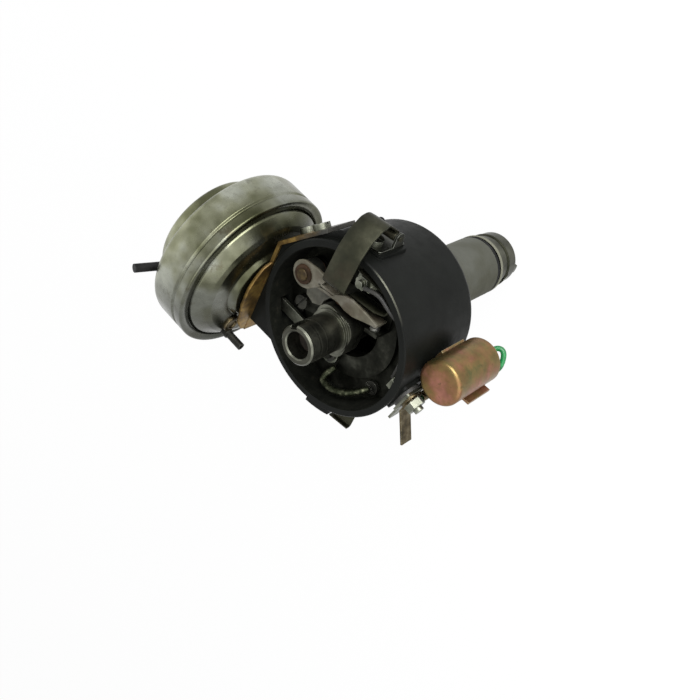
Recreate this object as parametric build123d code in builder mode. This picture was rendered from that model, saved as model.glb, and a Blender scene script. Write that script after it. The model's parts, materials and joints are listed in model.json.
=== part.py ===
"""Ignition distributor for a four-cylinder engine, without its cap and rotor.

All lengths are millimetres.  +Z runs along the drive shaft towards the open mouth of the bowl,
the origin is on the shaft axis at the root of the mounting shank, and the vacuum unit lies
towards -X.  Angles are degrees about +Z from +X.
"""
from build123d import *
from math import asin, cos, degrees, radians, sin, sqrt
import os

os.makedirs("parts", exist_ok=True)

# ------------------------------------------------------------------ driving dimensions
# bowl and shank
mouth_radius = 36.0
root_radius = 33.7
bowl_height = 49.0
collar_height = 3.0
collar_radius = 17.0
floor_thickness = 6.0
rim_wall = 3.0
lower_wall_radius = 31.5
root_round = 3.0
rim_edge = 0.5
shank_radius = 14.0
shank_length = 53.5
seal_groove_from_end = 2.3
seal_groove_width = 3.0
seal_groove_depth = 1.6
seal_section_radius = 0.78
shank_edge = 0.8

# shaft and bearings
shaft_radius = 6.35
post_radius = 5.0
running_clearance = 0.05
bush_wall = 1.6
bush_length = 18.0
washer_thickness = 0.6
washer_gap = 0.1
weight_plate_thickness = 2.0

# driving dog
dog_radius = 12.4
dog_length = 13.2
dog_pin_radius = 2.4
dog_ring_wire = 0.8
tang_width = 4.0
tang_height = 3.2
tang_gap = 9.0
tang_offset = 1.2

# centrifugal advance
advance_limit = 12.0
weight_pivot_radius = 20.0
weight_thickness = 5.0
weight_gap = 0.3
pivot_pin_radius = 2.5
drive_pin_circle = 12.0
drive_pin_radius = 2.0
yoke_thickness = 2.0
yoke_gap = 1.7
post_place = (-19.0, -13.0)
hook_place = (-5.5, -11.5)
spring_lift = 2.6
advance_wire = 0.4
advance_coil_radius = 1.8
advance_turns = 5

# cam and spindle
spindle_radius = 8.0
spindle_top = 71.0
spindle_bore = 5.4
cam_flat_radius = 9.2
cam_peak_radius = 10.6
cam_length = 8.5
cam_collar_height = 1.0
key_width = 3.0
key_depth = 1.6
key_length = 8.0
key_angle = 128.0
wick_depth = 3.0

# plates that carry the contacts
ledge_below_rim = 15.5
base_plate_thickness = 2.0
plate_fit = 0.1
hub_radius = 17.0
hub_bore = 14.5
breaker_plate_gap = 0.3
breaker_plate_thickness = 2.0
breaker_plate_radius = 23.5
sector_radius = 30.0
sector_start = 72.0
sector_end = 176.0
plate_turn_low = -4.0
plate_turn_high = 6.0
snap_ring_thickness = 0.8
lug_screw_circle = 28.0
lug_radius = 4.0
lug_height = 11.0
lug_screw_angles = (38.0, -38.0, -150.0)
lug_screw_radius = 1.75
lug_screw_head_radius = 3.0
lug_screw_head_height = 1.5

# contact set
pivot_circle = 24.2
pivot_angle = 155.3
pivot_post_radius = 2.5
arm_bush_radius = 4.0
eye_radius = 5.5
arm_half_width = 2.2
arm_sheet = 1.1
arm_depth = 7.0
arm_top_below_rim = 1.0
arm_length = 38.0
contact_place = 35.2
contact_radius = 2.0
contact_thickness = 1.3
contact_gap = 0.4
heel_depth = 1.44
heel_length = 9.0
heel_clearance = 0.06
contact_plate_thickness = 1.5
anvil_thickness = 1.5
anchor_place = (1.0, 25.6)
anchor_size = (7.5, 6.0)
terminal_screw_radius = 3.0
leaf_thickness = 0.4
leaf_height = 4.6

# terminal on the wall of the bowl
terminal_angle = -8.0
terminal_below_rim = 11.0
terminal_bolt_radius = 2.0
insulator_radius = 4.2
insulator_flange = 6.0
nut_across = 7.0
nut_height = 3.0
spade_width = 6.3
spade_thickness = 0.8
spade_length = 15.0
plate_tail_size = (10.0, 6.0)
barrel_below_terminal = 10.0
lug_ring_radius = 4.2
lug_neck_size = (3.4, 6.0)

# condenser
can_radius = 9.3
can_length = 28.0
can_below_rim = 11.0
can_angle = 12.8
can_gap = 0.85
can_edge = 1.6
saddle_sheet = 0.9
saddle_height = 15.0
pad_rise = 0.2
condenser_screw_angle = -7.0
condenser_lead_radius = 1.15

# vacuum unit
unit_axis_y = -16.9
unit_axis_below_rim = 9.3
flange_distance = 38.4
cup_sheet = 1.2
drum_radius = 38.5
crimp_front = 48.6
crimp_inner_radius = 34.6
drum_back = 64.8
rear_boss_radius = 15.2
rear_boss_back = 83.9
front_boss_radius = 16.5
front_boss_face = 41.0
diaphragm_sheet = 1.0
rod_width = 5.0
rod_thickness = 1.5
rod_pin_radius = 2.0
rod_eye_clearance = 0.1
rod_eye_radius = 4.4
return_wire = 0.9
return_coil_radius = 10.0
return_turns = 4
bracket_sheet = 1.6
front_cup_profile = (
    (43.5, 18.0),
    (43.5, 27.0),
    (44.6, 29.0),
    (48.3, 33.4),
)
rear_cup_profile = (
    (68.2, 35.4),
    (69.4, 31.0),
    (70.4, 28.2),
    (77.6, 27.0),
    (79.6, 25.6),
    (81.0, 22.8),
    (82.2, 17.4),
)
plug_place = (-42.4, -37.9, 52.6)
plug_radius = 2.6
rear_nozzle_root = (-70.0, -22.0, 68.0)
rear_nozzle_tip = (-74.4, -22.0, 85.6)
rear_nozzle_radius = 2.4
rear_nozzle_collar = 3.1
rear_nozzle_collar_end = 9.5
front_nozzle_y = -43.3
front_nozzle_z = 52.9
front_nozzle_radius = 1.7
front_nozzle_wall = 0.7
front_nozzle_collar = 2.3
front_nozzle_root = 46.0
front_nozzle_collar_end = 42.0
front_nozzle_tip = 33.7
bracket_low_y = -38.5
bracket_bottom = 33.0
bracket_height = 16.0
bracket_along = 27.0

# spring clips
clip_angles = (100.0, -80.0)
clip_leans = (0.0, -146.0)
clip_width = 8.8
clip_sheet = 0.8
clip_shape = (
    (0.69, -0.8),
    (2.36, 0.63),
    (5.8, 5.0),
    (10.0, 11.0),
    (9.3, 14.5),
    (3.5, 18.2),
    (-1.7, 20.5),
    (-13.3, 24.4),
)
rim_lug_reach = 38.8
rim_lug_angles = (-84.0, -66.0)
rim_lug_below_rim = 1.5
rim_lug_height = 6.0
hinge_stand_off = 4.0
hinge_below_rim = 18.0
hinge_pin_radius = 1.0
hinge_bore_clearance = 0.06
ear_sheet = 1.0
clip_screw_radius = 1.9
clip_screw_head_radius = 3.4
clip_screw_head_height = 2.2

# ------------------------------------------------------------------ derived heights
bowl_bottom = collar_height
rim_z = bowl_bottom + bowl_height
floor_z = bowl_bottom + floor_thickness
mouth_inner_radius = mouth_radius - rim_wall
ledge_z = rim_z - ledge_below_rim
bore_radius = shaft_radius + running_clearance + bush_wall
weight_plate_z = floor_z + 2 * washer_thickness + 4 * washer_gap
weight_plate_top = weight_plate_z + weight_plate_thickness
weight_z = weight_plate_top + weight_gap
weight_top = weight_z + weight_thickness
yoke_z = weight_top + yoke_gap
yoke_top = yoke_z + yoke_thickness
cam_top = rim_z
cam_bottom = cam_top - cam_length
base_plate_top = ledge_z + base_plate_thickness
breaker_plate_z = base_plate_top + breaker_plate_gap
breaker_plate_top = breaker_plate_z + breaker_plate_thickness
contact_plate_top = breaker_plate_top + contact_plate_thickness
arm_top = rim_z - arm_top_below_rim
arm_bottom = arm_top - arm_depth
unit_axis_z = rim_z - unit_axis_below_rim
hinge_z = rim_z - hinge_below_rim
pad_reach = mouth_radius + pad_rise
hinge_reach = pad_reach + hinge_stand_off
terminal_z = rim_z - terminal_below_rim
can_top = rim_z - can_below_rim
can_bottom = can_top - can_length


def wall_radius(height):
    """Outer radius of the tapered bowl at a height above the shank's root."""
    share = (height - bowl_bottom) / bowl_height
    return root_radius + (mouth_radius - root_radius) * share


def polar(radius, angle, height=0.0):
    """Point at a radius and an angle about the shaft axis."""
    return (radius * cos(radians(angle)), radius * sin(radians(angle)), height)


def wall_plane(angle, reach, height):
    """Plane square to a radius: x is tangential, y is up and the normal points outward."""
    tangent = (-sin(radians(angle)), cos(radians(angle)), 0)
    outward = (cos(radians(angle)), sin(radians(angle)), 0)
    return Plane(origin=polar(reach, angle, height), x_dir=tangent, z_dir=outward)


def radial_plane(angle):
    """Plane that holds the shaft axis and one radius: x is outward and y is up."""
    outward = (cos(radians(angle)), sin(radians(angle)), 0)
    back = (sin(radians(angle)), -cos(radians(angle)), 0)
    return Plane(origin=(0, 0, 0), x_dir=outward, z_dir=back)


def finish(piece, name):
    """Label a piece and write it as one STEP file."""
    piece.part.label = name
    export_step(piece.part, f"parts/{name}.step")


# the vacuum unit's own plane: x is the distance towards -X, y is the radius from its axis
unit_plane = Plane(origin=(0, unit_axis_y, unit_axis_z), x_dir=(-1, 0, 0), z_dir=(0, 1, 0))
unit_axis = Axis((0, unit_axis_y, unit_axis_z), (-1, 0, 0))

# corner points of the cast flange that the vacuum bracket is screwed to
flange_low = (-flange_distance, -32.0)
flange_bend = (-flange_distance, 10.3)
flange_high = (-15.2, 38.4)
flange_inner = (-14.1, 32.0)
flange_depth = 24.0
flange_top_z = rim_z - 4.0
flange_lean = (flange_high[0] - flange_bend[0], flange_high[1] - flange_bend[1])
flange_side_length = sqrt(flange_lean[0] ** 2 + flange_lean[1] ** 2)

# places of the lugs, pads and screws on the bowl
mid_wall_radius = mouth_inner_radius + 1.0
screw_pad_size = (15.0, 17.0)
screw_pad_z = hinge_z + 3.0
clip_screw_z = hinge_z + 7.0
condenser_pad_size = (13.0, 17.0)
condenser_screw_z = can_bottom + 10.0
terminal_pad_size = (14.0, 12.6)
rod_slot_size = (rod_width + 3.4, 5.2)
bracket_screw_places = ((20.0, 44.0), (6.5, 38.0))
bracket_screw_radius = 1.9
bracket_screw_head_radius = 3.5
bracket_screw_head_height = 2.4


def flange_side_plane(along, height):
    """Plane on the flange's slanted side: the normal points away from the bowl."""
    step_x = flange_lean[0] / flange_side_length
    step_y = flange_lean[1] / flange_side_length
    origin = (flange_bend[0] + along * step_x, flange_bend[1] + along * step_y, height)
    return Plane(origin=origin, x_dir=(step_x, step_y, 0), z_dir=(-step_y, step_x, 0))


# ------------------------------------------------------------------ housing: bowl and shank
groove_floor = shank_radius - seal_groove_depth
groove_bottom = -shank_length + seal_groove_from_end
groove_top = groove_bottom + seal_groove_width
with BuildPart() as housing:
    with BuildSketch(Plane.XY.offset(flange_top_z - flange_depth)):
        with BuildLine():
            Polyline(
                flange_low,
                flange_bend,
                flange_high,
                flange_inner,
                (0, 0),
                polar(mid_wall_radius, -112.0)[:2],
                close=True,
            )
        make_face()
        Circle(mid_wall_radius, mode=Mode.SUBTRACT)
    extrude(amount=flange_depth)
    fillet(housing.edges().filter_by(Axis.Z).sort_by(Axis.Y)[-1], 2.0)
    fillet(housing.edges().filter_by(Axis.Z).sort_by(Axis.X)[:1], 3.0)
    for angle in clip_angles:
        with BuildSketch(wall_plane(angle, pad_reach, screw_pad_z)):
            RectangleRounded(screw_pad_size[0], screw_pad_size[1], 2.0)
        extrude(amount=mid_wall_radius - pad_reach)
    with BuildSketch(wall_plane(condenser_screw_angle, pad_reach, condenser_screw_z)):
        RectangleRounded(condenser_pad_size[0], condenser_pad_size[1], 2.0)
    extrude(amount=mid_wall_radius - pad_reach)
    with BuildSketch(wall_plane(terminal_angle, pad_reach, terminal_z)):
        RectangleRounded(terminal_pad_size[0], terminal_pad_size[1], 2.0)
    extrude(amount=mid_wall_radius - pad_reach)
    with BuildSketch(Plane.XZ) as bowl_section:
        with BuildLine():
            Polyline(
                (bore_radius, -shank_length),
                (shank_radius, -shank_length),
                (shank_radius, groove_bottom),
                (groove_floor, groove_bottom),
                (groove_floor, groove_top),
                (shank_radius, groove_top),
                (shank_radius, 0),
                (collar_radius, 0),
                (collar_radius, collar_height),
                (root_radius, bowl_bottom),
                (mouth_radius, rim_z),
                (mouth_inner_radius, rim_z),
                (mouth_inner_radius, ledge_z),
                (lower_wall_radius, ledge_z),
                (lower_wall_radius, floor_z),
                (bore_radius, floor_z),
                close=True,
            )
        make_face()
        fillet(bowl_section.vertices().sort_by_distance((root_radius, bowl_bottom))[0], root_round)
        chamfer(bowl_section.vertices().sort_by_distance((mouth_radius, rim_z))[0], rim_edge)
        chamfer(bowl_section.vertices().sort_by_distance((shank_radius, -shank_length))[0], shank_edge)
    revolve(axis=Axis.Z)
    with BuildSketch(Plane.XY.offset(rim_z - rim_lug_below_rim - rim_lug_height)):
        Circle(rim_lug_reach)
        with BuildLine():
            Polyline(
                (0, 0),
                polar(2 * mouth_radius, rim_lug_angles[0])[:2],
                polar(2 * mouth_radius, rim_lug_angles[1])[:2],
                close=True,
            )
        make_face(mode=Mode.INTERSECT)
        Circle(mid_wall_radius, mode=Mode.SUBTRACT)
    extrude(amount=rim_lug_height)
    for angle in lug_screw_angles:
        with BuildSketch(Plane.XY.offset(ledge_z - lug_height)):
            with Locations(polar(lug_screw_circle, angle)[:2]):
                Circle(lug_radius)
        extrude(amount=lug_height)
        with Locations(polar(lug_screw_circle, angle, ledge_z)):
            Cylinder(
                lug_screw_radius,
                lug_height - 2.0,
                align=(Align.CENTER, Align.CENTER, Align.MAX),
                mode=Mode.SUBTRACT,
            )
    for angle in clip_angles:
        with BuildSketch(wall_plane(angle, pad_reach, clip_screw_z)):
            Circle(clip_screw_radius)
        extrude(amount=-(pad_reach - mouth_inner_radius + 1.0), mode=Mode.SUBTRACT)
    with BuildSketch(wall_plane(condenser_screw_angle, pad_reach, condenser_screw_z)):
        Circle(clip_screw_radius)
    extrude(amount=-(pad_reach - lower_wall_radius - 0.8), mode=Mode.SUBTRACT)
    with BuildSketch(wall_plane(terminal_angle, pad_reach, terminal_z)):
        Circle(insulator_radius)
    extrude(amount=-(pad_reach - mouth_inner_radius + 2.0), mode=Mode.SUBTRACT)
    for along, height in bracket_screw_places:
        with BuildSketch(flange_side_plane(along, height)):
            Circle(bracket_screw_radius)
        extrude(amount=-4.0, mode=Mode.SUBTRACT)
    with BuildSketch(Plane.YZ.offset(-flange_distance)):
        with Locations((unit_axis_y, unit_axis_z)):
            Rectangle(rod_slot_size[0], rod_slot_size[1])
    extrude(amount=flange_distance / 2, mode=Mode.SUBTRACT)
finish(housing, "housing")

with BuildPart() as shank_seal_ring:
    with BuildSketch(Plane.XZ):
        with Locations((groove_floor + seal_section_radius, groove_bottom + seal_groove_width / 2)):
            RegularPolygon(seal_section_radius, 12)
    revolve(axis=Axis.Z)
finish(shank_seal_ring, "shank_seal_ring")

# ------------------------------------------------------------------ bushes, washers and shaft
shaft_bore = shaft_radius + running_clearance
with BuildPart() as upper_shaft_bush:
    with BuildSketch(Plane.XY.offset(floor_z - bush_length)):
        Circle(bore_radius)
        Circle(shaft_bore, mode=Mode.SUBTRACT)
    extrude(amount=bush_length)
finish(upper_shaft_bush, "upper_shaft_bush")

with BuildPart() as lower_shaft_bush:
    with BuildSketch(Plane.XY.offset(-shank_length)):
        Circle(bore_radius)
        Circle(shaft_bore, mode=Mode.SUBTRACT)
    extrude(amount=bush_length)
finish(lower_shaft_bush, "lower_shaft_bush")

dog_top = -shank_length - washer_thickness - 2 * washer_gap
dog_bottom = dog_top - dog_length
upper_washer_z = floor_z + washer_gap
middle_washer_z = upper_washer_z + washer_thickness + washer_gap
with BuildPart() as thrust_washers:
    for height in (upper_washer_z, middle_washer_z, dog_top + washer_gap):
        with BuildSketch(Plane.XY.offset(height)):
            Circle(shaft_radius + 4.0)
            Circle(shaft_radius + 0.15, mode=Mode.SUBTRACT)
        extrude(amount=washer_thickness)
finish(thrust_washers, "thrust_washers")

post_top = spindle_top - 11.0
dog_pin_z = dog_top - 6.0
shaft_end_z = dog_bottom + 2.0
with BuildPart() as drive_shaft:
    with BuildSketch(Plane.XZ) as shaft_section:
        with BuildLine():
            Polyline(
                (0, shaft_end_z),
                (shaft_radius, shaft_end_z),
                (shaft_radius, weight_plate_z),
                (post_radius, weight_plate_z),
                (post_radius, post_top),
                (0, post_top),
                close=True,
            )
        make_face()
        chamfer(shaft_section.vertices().sort_by_distance((post_radius, post_top))[0], 0.5)
        chamfer(shaft_section.vertices().sort_by_distance((shaft_radius, shaft_end_z))[0], 0.5)
    revolve(axis=Axis.Z)
    with BuildSketch(Plane.YZ):
        with Locations((0, dog_pin_z)):
            Circle(dog_pin_radius)
    extrude(amount=shaft_radius + 1.0, both=True, mode=Mode.SUBTRACT)
finish(drive_shaft, "drive_shaft")

with BuildPart() as weight_plate:
    with BuildSketch(Plane.XY.offset(weight_plate_z)):
        Circle(shaft_radius + 6.0)
        for side in (1, -1):
            with Locations((side * weight_pivot_radius, 0)):
                Circle(pivot_pin_radius + 4.0)
            with Locations((side * post_place[0], side * post_place[1])):
                Circle(4.0)
        make_hull()
        Circle(post_radius, mode=Mode.SUBTRACT)
    extrude(amount=weight_plate_thickness)
    spring_z = yoke_top + spring_lift
    for side in (1, -1):
        with BuildSketch(Plane.XY.offset(weight_plate_top)):
            with Locations((side * post_place[0], side * post_place[1])):
                Circle(1.0)
        extrude(amount=spring_z + 1.0 - weight_plate_top)
        with Locations((side * weight_pivot_radius, 0, weight_plate_top)):
            Cylinder(
                pivot_pin_radius,
                weight_thickness + weight_gap + 0.2,
                align=(Align.CENTER, Align.CENTER, Align.MIN),
            )
        with Locations((side * weight_pivot_radius, 0, weight_top + 0.2)):
            Cylinder(pivot_pin_radius + 1.0, 0.8, align=(Align.CENTER, Align.CENTER, Align.MIN))
finish(weight_plate, "weight_plate")


# ------------------------------------------------------------------ driving dog
with BuildPart() as drive_dog:
    with BuildSketch(Plane.XZ) as dog_section:
        with BuildLine():
            Polyline(
                (shaft_radius + 0.02, dog_bottom),
                (dog_radius, dog_bottom),
                (dog_radius, dog_top),
                (shaft_radius + 0.02, dog_top),
                close=True,
            )
        make_face()
        chamfer(dog_section.vertices().sort_by_distance((dog_radius, dog_bottom))[0], 0.8)
        chamfer(dog_section.vertices().sort_by_distance((dog_radius, dog_top))[0], 0.8)
        with Locations((dog_radius - 0.2, dog_pin_z)):
            Circle(dog_ring_wire + 0.02, mode=Mode.SUBTRACT)
    revolve(axis=Axis.Z)
    with BuildSketch(Plane.XY.offset(dog_bottom)):
        with Locations((0, tang_offset)):
            Rectangle(2 * dog_radius, tang_width)
        Circle(dog_radius - 0.8, mode=Mode.INTERSECT)
        Rectangle(tang_gap, 2 * dog_radius, mode=Mode.SUBTRACT)
    extrude(amount=-tang_height)
    with BuildSketch(Plane.YZ):
        with Locations((0, dog_pin_z)):
            Circle(dog_pin_radius)
    extrude(amount=dog_radius + 1.0, both=True, mode=Mode.SUBTRACT)
finish(drive_dog, "drive_dog")

with BuildPart() as dog_pin:
    with BuildSketch(Plane.YZ):
        with Locations((0, dog_pin_z)):
            Circle(dog_pin_radius)
    extrude(amount=dog_radius - 0.2 - dog_ring_wire - 0.4, both=True)
finish(dog_pin, "dog_pin")

with BuildPart() as dog_spring_ring:
    with BuildSketch(Plane.XZ):
        with Locations((dog_radius - 0.2, dog_pin_z)):
            RegularPolygon(dog_ring_wire, 8)
    revolve(axis=Axis.Z, revolution_arc=352)
finish(dog_spring_ring, "dog_spring_ring")

# ------------------------------------------------------------------ centrifugal advance
pin_play = 0.12
slot_lash = weight_pivot_radius * (1 - cos(radians(advance_limit))) + pin_play
slot_left = -drive_pin_radius - pin_play
slot_right = drive_pin_radius + slot_lash
slot_floor = -drive_pin_circle - drive_pin_radius - pin_play
for name, side in (("weight_a", 1), ("weight_b", -1)):
    turn = Plane(origin=(0, 0, weight_z), x_dir=(side, 0, 0), z_dir=(0, 0, 1))
    with BuildPart() as weight:
        with BuildSketch(turn):
            with Locations((weight_pivot_radius, 0)):
                Circle(pivot_pin_radius + 2.7)
            with Locations((12.0, -14.0)):
                Circle(7.0)
            with Locations((-6.0, -17.0)):
                Circle(6.0)
            make_hull()
            with Locations((weight_pivot_radius, 0)):
                Circle(pivot_pin_radius + running_clearance, mode=Mode.SUBTRACT)
            with BuildLine():
                Polyline(
                    (slot_left, 0),
                    (slot_left, slot_floor),
                    (slot_right, slot_floor),
                    (slot_right, 0),
                    close=True,
                )
            make_face(mode=Mode.SUBTRACT)
        extrude(amount=weight_thickness)
    finish(weight, name)

with BuildPart() as cam_yoke:
    with BuildSketch(Plane.XY.offset(yoke_z)):
        Circle(spindle_radius + 1.5)
        for side in (1, -1):
            with Locations((0, -side * drive_pin_circle)):
                Circle(drive_pin_radius + 2.0)
            with Locations((side * hook_place[0], side * hook_place[1])):
                Circle(2.4)
        make_hull()
        Circle(spindle_radius - 1.0, mode=Mode.SUBTRACT)
    extrude(amount=yoke_thickness)
    for side in (1, -1):
        with Locations((0, side * drive_pin_circle, weight_z + 0.4)):
            Cylinder(
                drive_pin_radius,
                yoke_z - weight_z - 0.4,
                align=(Align.CENTER, Align.CENTER, Align.MIN),
            )
        with Locations((side * hook_place[0], side * hook_place[1], yoke_top)):
            Cylinder(1.0, spring_lift + 1.0, align=(Align.CENTER, Align.CENTER, Align.MIN))
finish(cam_yoke, "cam_yoke")

hook_ring = 1.0 + 0.1 + advance_wire
with BuildPart() as advance_springs:
    for side in (1, -1):
        start = Vector(side * post_place[0], side * post_place[1], spring_z)
        end = Vector(side * hook_place[0], side * hook_place[1], spring_z)
        run = (end - start).normalized()
        leg = 3.4
        coil_length = (end - start).length - 2 * leg
        for centre in (start, end):
            with Locations(centre):
                Torus(hook_ring, advance_wire)
        coil = Helix(
            pitch=coil_length / advance_turns,
            height=coil_length,
            radius=advance_coil_radius,
            center=start + run * leg,
            direction=run,
        )
        with BuildSketch(Plane(origin=coil @ 0, z_dir=coil % 0)):
            RegularPolygon(advance_wire, 6)
        sweep(path=coil, is_frenet=True)
        for point, centre, toward in ((coil @ 0, start, 1), (coil @ 1, end, -1)):
            inner = centre + run * (toward * leg)
            first = centre + run * (toward * hook_ring)
            with BuildSketch(Plane(origin=first, z_dir=run * toward)):
                Circle(advance_wire)
            extrude(amount=leg - hook_ring + advance_wire)
            with BuildSketch(Plane(origin=inner, z_dir=point - inner)):
                Circle(advance_wire)
            extrude(amount=advance_coil_radius)
finish(advance_springs, "advance_springs")

# ------------------------------------------------------------------ cam and spindle
wick_z = spindle_top - 10.5
with BuildPart() as cam:
    with BuildSketch(Plane.XZ) as spindle_section:
        with BuildLine():
            Polyline(
                (post_radius + running_clearance, yoke_z),
                (spindle_radius - 1.0, yoke_z),
                (spindle_radius - 1.0, yoke_top),
                (spindle_radius, yoke_top),
                (spindle_radius, spindle_top),
                (spindle_bore, spindle_top),
                (spindle_bore, wick_z),
                (post_radius + running_clearance, wick_z),
                close=True,
            )
        make_face()
        chamfer(spindle_section.vertices().sort_by_distance((spindle_radius, spindle_top))[0], 0.7)
        chamfer(spindle_section.vertices().sort_by_distance((spindle_bore, spindle_top))[0], 0.6)
    revolve(axis=Axis.Z)
    corner_radius = (cam_flat_radius * sqrt(2) - cam_peak_radius) / (sqrt(2) - 1)
    with BuildSketch(Plane.XY.offset(cam_bottom)):
        RectangleRounded(2 * cam_flat_radius, 2 * cam_flat_radius, corner_radius)
        Circle(spindle_radius - 0.5, mode=Mode.SUBTRACT)
    extrude(amount=cam_length)
    with BuildSketch(Plane.XY.offset(cam_top)):
        Circle(cam_flat_radius)
        Circle(spindle_radius - 0.5, mode=Mode.SUBTRACT)
    extrude(amount=cam_collar_height)
    with BuildSketch(wall_plane(key_angle, spindle_radius + 1.0, spindle_top - key_length / 2)):
        Rectangle(key_width, key_length)
    extrude(amount=-1.0 - key_depth, mode=Mode.SUBTRACT)
finish(cam, "cam")

with BuildPart() as spindle_wick:
    with BuildSketch(Plane.XY.offset(wick_z)):
        Circle(spindle_bore - 0.02)
    extrude(amount=wick_depth)
finish(spindle_wick, "spindle_wick")

# ------------------------------------------------------------------ plates that carry the contacts
hub_bottom = ledge_z - 1.6
snap_ring_z = ledge_z - 0.1 - snap_ring_thickness
plate_notch_depth = 4.8
plate_notch_width = 2 * insulator_radius + 2.0
with BuildPart() as base_plate:
    with BuildSketch(Plane.XY.offset(ledge_z)):
        Circle(mouth_inner_radius - plate_fit)
        Circle(hub_radius + running_clearance, mode=Mode.SUBTRACT)
        for angle in lug_screw_angles:
            with Locations(polar(lug_screw_circle, angle)[:2]):
                Circle(lug_screw_radius, mode=Mode.SUBTRACT)
        with Locations(Location(polar(mouth_inner_radius, terminal_angle)[:2], terminal_angle)):
            Rectangle(2 * plate_notch_depth, plate_notch_width, mode=Mode.SUBTRACT)
    extrude(amount=base_plate_thickness)
finish(base_plate, "base_plate")

with BuildPart() as base_plate_screws:
    for angle in lug_screw_angles:
        with Locations(polar(lug_screw_circle, angle, base_plate_top)):
            Cylinder(
                lug_screw_radius,
                lug_height - 4.0,
                align=(Align.CENTER, Align.CENTER, Align.MAX),
            )
            Cylinder(
                lug_screw_head_radius,
                lug_screw_head_height,
                align=(Align.CENTER, Align.CENTER, Align.MIN),
            )
        with BuildSketch(Plane.XY.offset(base_plate_top + lug_screw_head_height)):
            with Locations(Location(polar(lug_screw_circle, angle)[:2], angle + 25.0)):
                Rectangle(2 * lug_screw_head_radius, 0.8)
        extrude(amount=-0.7, mode=Mode.SUBTRACT)
finish(base_plate_screws, "base_plate_screws")

with BuildPart() as breaker_plate:
    with BuildSketch(Plane.XY.offset(breaker_plate_z)):
        Circle(breaker_plate_radius)
        with BuildLine():
            sector_turn = sector_end - sector_start
            CenterArc((0, 0), sector_radius, sector_start, sector_turn)
            Line((0, 0), polar(sector_radius, sector_start)[:2])
            Line((0, 0), polar(sector_radius, sector_end)[:2])
        make_face()
        Circle(hub_bore, mode=Mode.SUBTRACT)
    extrude(amount=breaker_plate_thickness)
    with BuildSketch(Plane.XY.offset(hub_bottom)):
        Circle(hub_radius)
        Circle(hub_bore, mode=Mode.SUBTRACT)
    extrude(amount=breaker_plate_z - hub_bottom)
    with BuildSketch(Plane.XY.offset(snap_ring_z)):
        Circle(hub_radius)
        Circle(hub_radius - 0.8, mode=Mode.SUBTRACT)
    extrude(amount=snap_ring_thickness, mode=Mode.SUBTRACT)
    with Locations((0, unit_axis_y, breaker_plate_top)):
        Cylinder(
            rod_pin_radius,
            unit_axis_z + rod_thickness / 2 + 2.0 - breaker_plate_top,
            align=(Align.CENTER, Align.CENTER, Align.MIN),
        )
finish(breaker_plate, "breaker_plate")

with BuildPart() as plate_snap_ring:
    with BuildSketch(Plane.XY.offset(snap_ring_z)):
        Circle(hub_radius + 1.6)
        Circle(hub_radius - 0.8, mode=Mode.SUBTRACT)
        with Locations((0, hub_radius)):
            Rectangle(5.0, 6.0, mode=Mode.SUBTRACT)
    extrude(amount=snap_ring_thickness)
finish(plate_snap_ring, "plate_snap_ring")

# ------------------------------------------------------------------ contact set
heel_offset = cam_peak_radius + heel_clearance + heel_depth + arm_half_width
heel_place = sqrt(pivot_circle**2 - heel_offset**2)
arm_angle = pivot_angle - 180.0 + degrees(asin(heel_offset / pivot_circle))
arm_x = (cos(radians(arm_angle)), sin(radians(arm_angle)), 0)
arm_side = (-sin(radians(arm_angle)), cos(radians(arm_angle)), 0)
pivot_place = polar(pivot_circle, pivot_angle)
contact_z = arm_bottom + arm_depth / 2 - 0.5
anvil_face = -(arm_half_width + 2 * contact_thickness + contact_gap)


def arm_plane(height):
    """Plane at a height: the origin is on the arm's pivot and x runs along the arm."""
    return Plane(origin=(pivot_place[0], pivot_place[1], height), x_dir=arm_x, z_dir=(0, 0, 1))


def contact_plane(offset):
    """Plane on the contact line, square to the arm: the normal points away from the cam."""
    x = pivot_place[0] + contact_place * arm_x[0] + offset * arm_side[0]
    y = pivot_place[1] + contact_place * arm_x[1] + offset * arm_side[1]
    return Plane(origin=(x, y, contact_z), x_dir=arm_x, z_dir=arm_side)


def on_arm(along, offset):
    """Point at a distance along the arm and an offset away from the cam."""
    x = pivot_place[0] + along * arm_x[0] + offset * arm_side[0]
    y = pivot_place[1] + along * arm_x[1] + offset * arm_side[1]
    return (x, y)


anvil_start = contact_place - contact_radius - 0.7
anvil_end = contact_place + contact_radius + 1.3
bracket_edge = anvil_face - anvil_thickness
lock_screw_place = (-21.5, -7.5)
with BuildPart() as contact_bracket:
    with BuildSketch(Plane.XY.offset(breaker_plate_top)):
        with Locations(pivot_place[:2]):
            Circle(pivot_post_radius + 2.4)
        with Locations(lock_screw_place):
            Circle(3.9)
        with Locations((-16.4, -6.0)):
            Circle(3.2)
        with Locations((-12.5, 9.5)):
            Circle(3.0)
        make_hull()
    extrude(amount=contact_plate_thickness)
    with BuildSketch(arm_plane(breaker_plate_top)):
        with BuildLine():
            Polyline(
                (0, bracket_edge),
                (anvil_end, bracket_edge),
                (anvil_end, 2.0),
                (0, 3.2),
                close=True,
            )
        make_face()
    extrude(amount=contact_plate_thickness)
    with BuildSketch(arm_plane(breaker_plate_top)):
        with BuildLine():
            Polyline(
                (anvil_start, bracket_edge),
                (anvil_end, bracket_edge),
                (anvil_end, anvil_face),
                (anvil_start, anvil_face),
                close=True,
            )
        make_face()
    extrude(amount=contact_z + contact_radius + 0.6 - breaker_plate_top)
    with BuildSketch(Plane.XY.offset(breaker_plate_top)):
        Circle(hub_bore - 2.0)
        with Locations(pivot_place[:2]):
            Circle(pivot_post_radius)
        with Locations(lock_screw_place):
            Circle(1.5)
    extrude(amount=contact_plate_thickness, mode=Mode.SUBTRACT)
finish(contact_bracket, "contact_bracket")

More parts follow.
